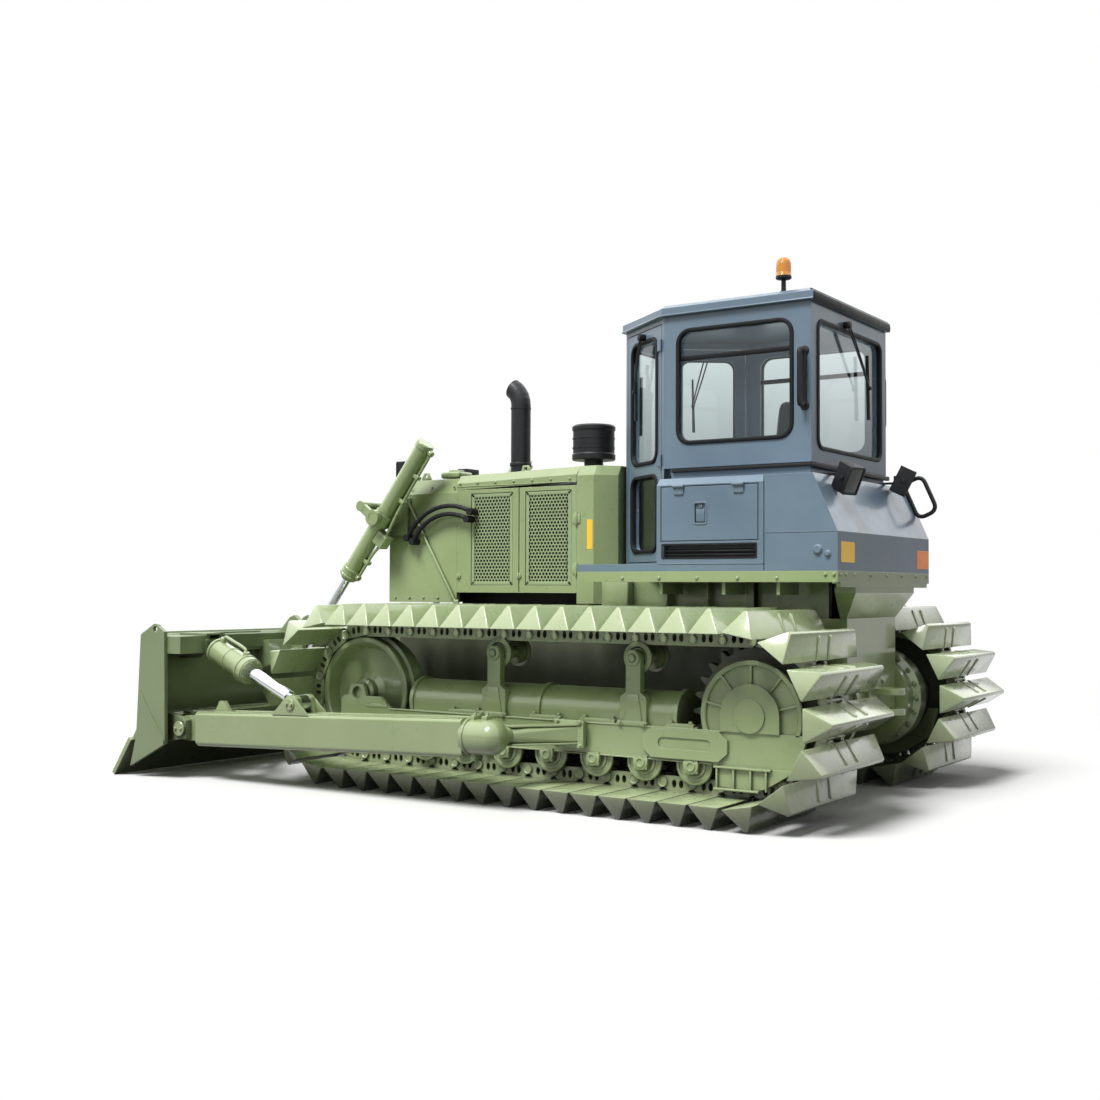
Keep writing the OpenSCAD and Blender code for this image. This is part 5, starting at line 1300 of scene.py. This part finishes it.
def makeBladeTrim():
    r = blade["edgeBoltRadius"]
    dome = [(axis, 0), (r, 0), (r - 1, 2.5), (6, 3.5), (axis, 2)]
    parts = []
    count = int(2 * (blade["half"] - 90) / blade["edgeBoltPitch"])
    for height in blade["edgeHeights"]:
        for i in range(count + 1):
            y = (i - count / 2) * blade["edgeBoltPitch"]
            hit, spot, normal, face = nodes["cutting_edge"].ray_cast(at(5200, y, height), Vector((-1, 0, 0)))
            if hit:
                place = Matrix.Translation(spot) @ facing(normal)
                parts.append(turnedPiece(dome, place, 14))
    finishPiece(parts, "edgeBolts", wornSteel, "blade_frame")
    # weld runs across the back, found on the plate itself
    welds = []
    for height in blade["backSeams"]:
        for y0, y1 in blade["seamRuns"]:
            hit, spot, normal, face = nodes["blade"].ray_cast(at(3300, (y0 + y1) / 2, height), Vector((1, 0, 0)))
            if hit:
                welds.append(tubePiece([(spot.x, y * mm, spot.z) for y in (y0, y1)], 0.007, False, 2))
    finishPiece(welds, "backWelds", shadedBladeEnamel, "blade_frame")


# scoured steel of the cutting edge's fasteners: bare, brushed grey by soil
wornSteel = plainCoat("scouredSteel", {
    "deep": "#6E6E69", "light": "#A3A29B", "rough": 0.42, "broad": 18.0, "fine": 320.0, "bump": 0.15, "metal": 0.85})
makeBladeTrim()


# pipe, ports and gland rings along the tilt cylinder
def makeTiltTrim():
    head, foot = at(*arm["tiltHead"]), at(*arm["tiltFoot"])
    down = (foot - head).normalized()
    place = Matrix.Translation(head) @ facing(down)
    bands = ((118, 140, 95), (300, 318, 90), (478, 498, 104), (545, 562, 92))
    parts = [turnedPiece(bandOutline(70, r, z0, z1), Matrix(), 40) for z0, z1, r in bands]
    rings = settle(joined(parts + glandBolts(0.076, 0.560, 0.012, 0.009, 20)))
    rings.data.transform(place)
    up = (Vector((0, 0, 1)) - down * down.z).normalized()
    # distance along the cylinder and height above its axis
    run = ((165, 70), (170, 128), (190, 132), (300, 132), (430, 132), (455, 126), (458, 74))
    parts = [rings, tubePiece([head + (down * d + up * h) * mm for d, h in run], 0.011, True, 3)]
    for d in (165, 458):
        port = head + down * d * mm
        parts.append(barPiece(port + up * 70 * mm, port + up * 116 * mm, 0.023, 0.004, 18))
    finishPiece(parts, "tiltPiping", oliveEnamel, "blade_frame")


makeTiltTrim()
print("blade dressed")

# Side boxes, tank and rear: latch, louvre, plates, caps, bolts

box = {
    "side": 830, "tankRear": -341, "deck": 1499.6, "latchAhead": 60, "latchHeight": 1874.6,
    "louvre": (206, 870, 1590, 1670), "driveRing": 321, "driveBolts": 20,
}
# printed vinyl film, left blank: flat warm yellow with a faint gloss and a faint painted glow that brightens it
yellowVinyl = plainCoat("yellowVinyl", {
    "deep": "#FFC524", "light": "#FFD04A", "rough": 0.35, "glow": 0.22, "broad": 9.0, "fine": 200.0, "bump": 0.03})
# the same film in orange, as a plain reflector, with the same painted glow
orangeVinyl = plainCoat("orangeVinyl", {
    "deep": "#FF8426", "light": "#FF9A48", "rough": 0.3, "glow": 0.22, "broad": 9.0, "fine": 240.0, "bump": 0.05})


def makeBoxTrim():
    side, rear, deck = box["side"], box["tankRear"], box["deck"]
    plates = [block(rear - 2.5, 559, 1553, rear + 1, 774, 1679, 0.8, 1),
              block(1626, 499, 1664, 1672, 502.5, 1874, 0.8, 1)]
    finishPiece(plates, "blankPlates", yellowVinyl)
    plate = block(rear - 3, -825, 1531, rear + 1, -590, 1656, 0.8, 1)
    finishPiece([plate], "rearReflector", orangeVinyl)
    # paddle latch in the lid's pressed recess
    lidLow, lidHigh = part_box("box_door")
    x = ((lidLow[0] + lidHigh[0]) / 2 - axleX) / mm + box["latchAhead"]
    z = box["latchHeight"]
    tray = ringPiece((x - 50, x + 50, z - 75, z + 75, 16), 0, 12, 5, 0, 2, moved(0, side + 4, 0))
    corners = ((-32, -10, -56), (32, -10, -56), (32, -5, 26), (-32, -5, 26))
    paddle = platePiece([at(x + dx, side + dy, z + dz) for dx, dy, dz in corners], (0, 0.006, 0), 0.003)
    outline = [(axis, 0), (13, 0), (13, 4), (10, 6), (4, 6), (3, 2), (axis, 2)]
    lock = turnedPiece(outline, facingLeft(x, side - 10, z + 44), 24)
    finishPiece([tray, paddle, lock], "lidLatch", greyEnamel, "locker_door")
    # slats inside the louvre, a dark sheet behind them as painted shade, and its frame
    x0, x1, z0, z1 = box["louvre"]
    slats = []
    for z in (z0 + 28, z0 + 52):
        corners = ((x0 + 8, -30, z), (x1 - 8, -30, z), (x1 - 8, -6, z - 12), (x0 + 8, -6, z - 12))
        slats.append(platePiece([at(x, side + y, h) for x, y, h in corners], (0, 0, 0.003), 0.001, 1))
    slats.append(block(x0 + 2, side - 38, z0 + 2, x1 - 2, side - 36, z1 - 2, 0.5, 1))
    slats.append(ringPiece((x0 - 12, x1 + 12, z0 - 10, z1 + 10, 10), 0, 10, 4, 0, 1.5, moved(0, side + 3, 0)))
    finishPiece(slats, "louvreSlats", blackEnamel)
    # filler and drain caps, folded strips along the boxes and the tank
    caps = []
    for x, z, r in ((-214, 1631, 26), (-278, 1605, 17)):
        outline = [(axis, 0), (r + 6, 0), (r + 6, 3), (r, 5), (r, 14), (r - 4, 18), (axis, 18)]
        caps.append(turnedPiece(outline, facingLeft(x, side, z), 28))
    for s in (1, -1):
        for x0, x1, y, z0, z1 in ((150, 900, 831.5, 1544, 1552), (rear + 6, 140, 831, 1738, 1742)):
            caps.append(block(x0, s * y - 1.5, z0, x1, s * y + 1.5, z1, 1, 1))
    finishPiece(caps, "tankFittings", greyEnamel)
    # web plates under the deck, between the case and the cowl
    webs = []
    for s in (1, -1):
        webs.append(block(400, s * 446 - 6, 1190, 1580, s * 446 + 6, deck - 34, 3))
        for x in (700, 1010, 1320):
            webs.append(block(x - 6, s * 490 - 42, 1260, x + 6, s * 490 + 42, deck - 40, 3))
    finishPiece(webs, "deckWebs", oliveEnamel)
    # shut lines: thin dark gaps between the panels
    corners = ((rear - 0.8, -398, 1741), (rear - 0.8, -394, 1741), (-179, -394, 2104.5), (-179, -398, 2104.5))
    seams = [block(rear - 0.8, -398, 1505, rear + 1, -394, 1740, 0.3, 1),
             platePiece([at(*corner) for corner in corners], (0.0012, 0, -0.0005), 0, 1)]
    for s in (1, -1):
        seams.append(block(146, s * 830.2 - 0.8, 1503, 150, s * 830.2 + 0.8, 2104, 0.3, 1))
    finishPiece(seams, "panelGaps", sealRubber)
    spots = [(-318, 1478), (-318, 1432), (-262, 1478)] + [(x, 1455) for x in (60, 330, 620, 900, 1180)]
    boltPair("deckBolts", [(x, side, z) for x, z in spots], (0, 1, 0), 9)
    # flange bolts of the final drives, on the side towards the case
    r, turns = box["driveRing"], [2 * math.pi * i / box["driveBolts"] for i in range(box["driveBolts"])]
    ring = [(r * math.cos(turn), 628, under["wheelZ"] + r * math.sin(turn)) for turn in turns]
    boltPair("driveBolts", ring, (0, -1, 0), 13)
    boltRow("rearBolts", [(rear, y, 1476) for y in (-790, -560, -280, 0, 280, 560, 700, 790)], (-1, 0, 0), 9)
    boltRow("hitchBolts", [(-268, y, 656.6 + z) for y in (-108, 108) for z in (-124, 124)], (-1, 0, 0), 16)


makeBoxTrim()
print("boxes and rear dressed")

# Handles: closed loops of bent tube

handles = {
    "cabX": -52, "cabZ": 2544.6, "cabReach": 350, "stand": 88, "tube": 15, "bend": 0.03,
    "loopFoot": (-271, -770, 1898), "loopLong": 270, "loopStand": 160, "loopBend": 0.06, "tankSlope": (163, 364),
}


def roundedRun(corners, bend, steps=6):
    run = [corners[0]]
    for before, corner, after in zip(corners, corners[1:], corners[2:]):
        entry = corner + (before - corner).normalized() * bend
        leave = corner + (after - corner).normalized() * bend
        for i in range(steps + 1):
            t = i / steps
            run.append(entry * (1 - t) ** 2 + corner * 2 * t * (1 - t) + leave * t ** 2)
    return run + [corners[-1]]


def makeHandles():
    h = handles
    parts = []
    wall, x, low, high = cab["half"], h["cabX"], h["cabZ"], h["cabZ"] + h["cabReach"]
    for s in (1, -1):
        inner, outer, middle = s * (wall + h["tube"]), s * (wall + h["stand"]), (low + high) / 2
        corners = ((inner, middle), (inner, low), (outer, low), (outer, high), (inner, high), (inner, middle - 4))
        run = roundedRun([at(x, y, z) for y, z in corners], h["bend"])
        parts.append(tubePiece(run, h["tube"] * mm, False, 5))
        outward = turned(-90 * s, "X")
        for z in (low, high):
            foot = [(axis, 0), (30, 0), (30, 5), (26, 8), (axis, 8)]
            parts.append(turnedPiece(foot, moved(x, s * wall, z) @ outward, 24))
    # the loop at the tank's corner stands square to the slope
    level, climb = h["tankSlope"]
    rise = math.atan2(climb, level)
    along = Vector((math.cos(rise), 0, math.sin(rise)))
    away = Vector((-math.sin(rise), 0, math.cos(rise)))
    foot = at(*h["loopFoot"]) - along * 0.02
    corners = ((0.5, 12), (0, 12), (0, h["loopStand"]), (1, h["loopStand"]), (1, 12), (0.49, 12))
    run = [foot + (along * share * h["loopLong"] + away * out) * mm for share, out in corners]
    parts.append(tubePiece(roundedRun(run, h["loopBend"]), h["tube"] * mm, False, 5))
    loops = finishPiece(parts, "grabTubes", blackPlastic, sharp=50)
    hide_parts("grab_handles")


makeHandles()
print("handles made")
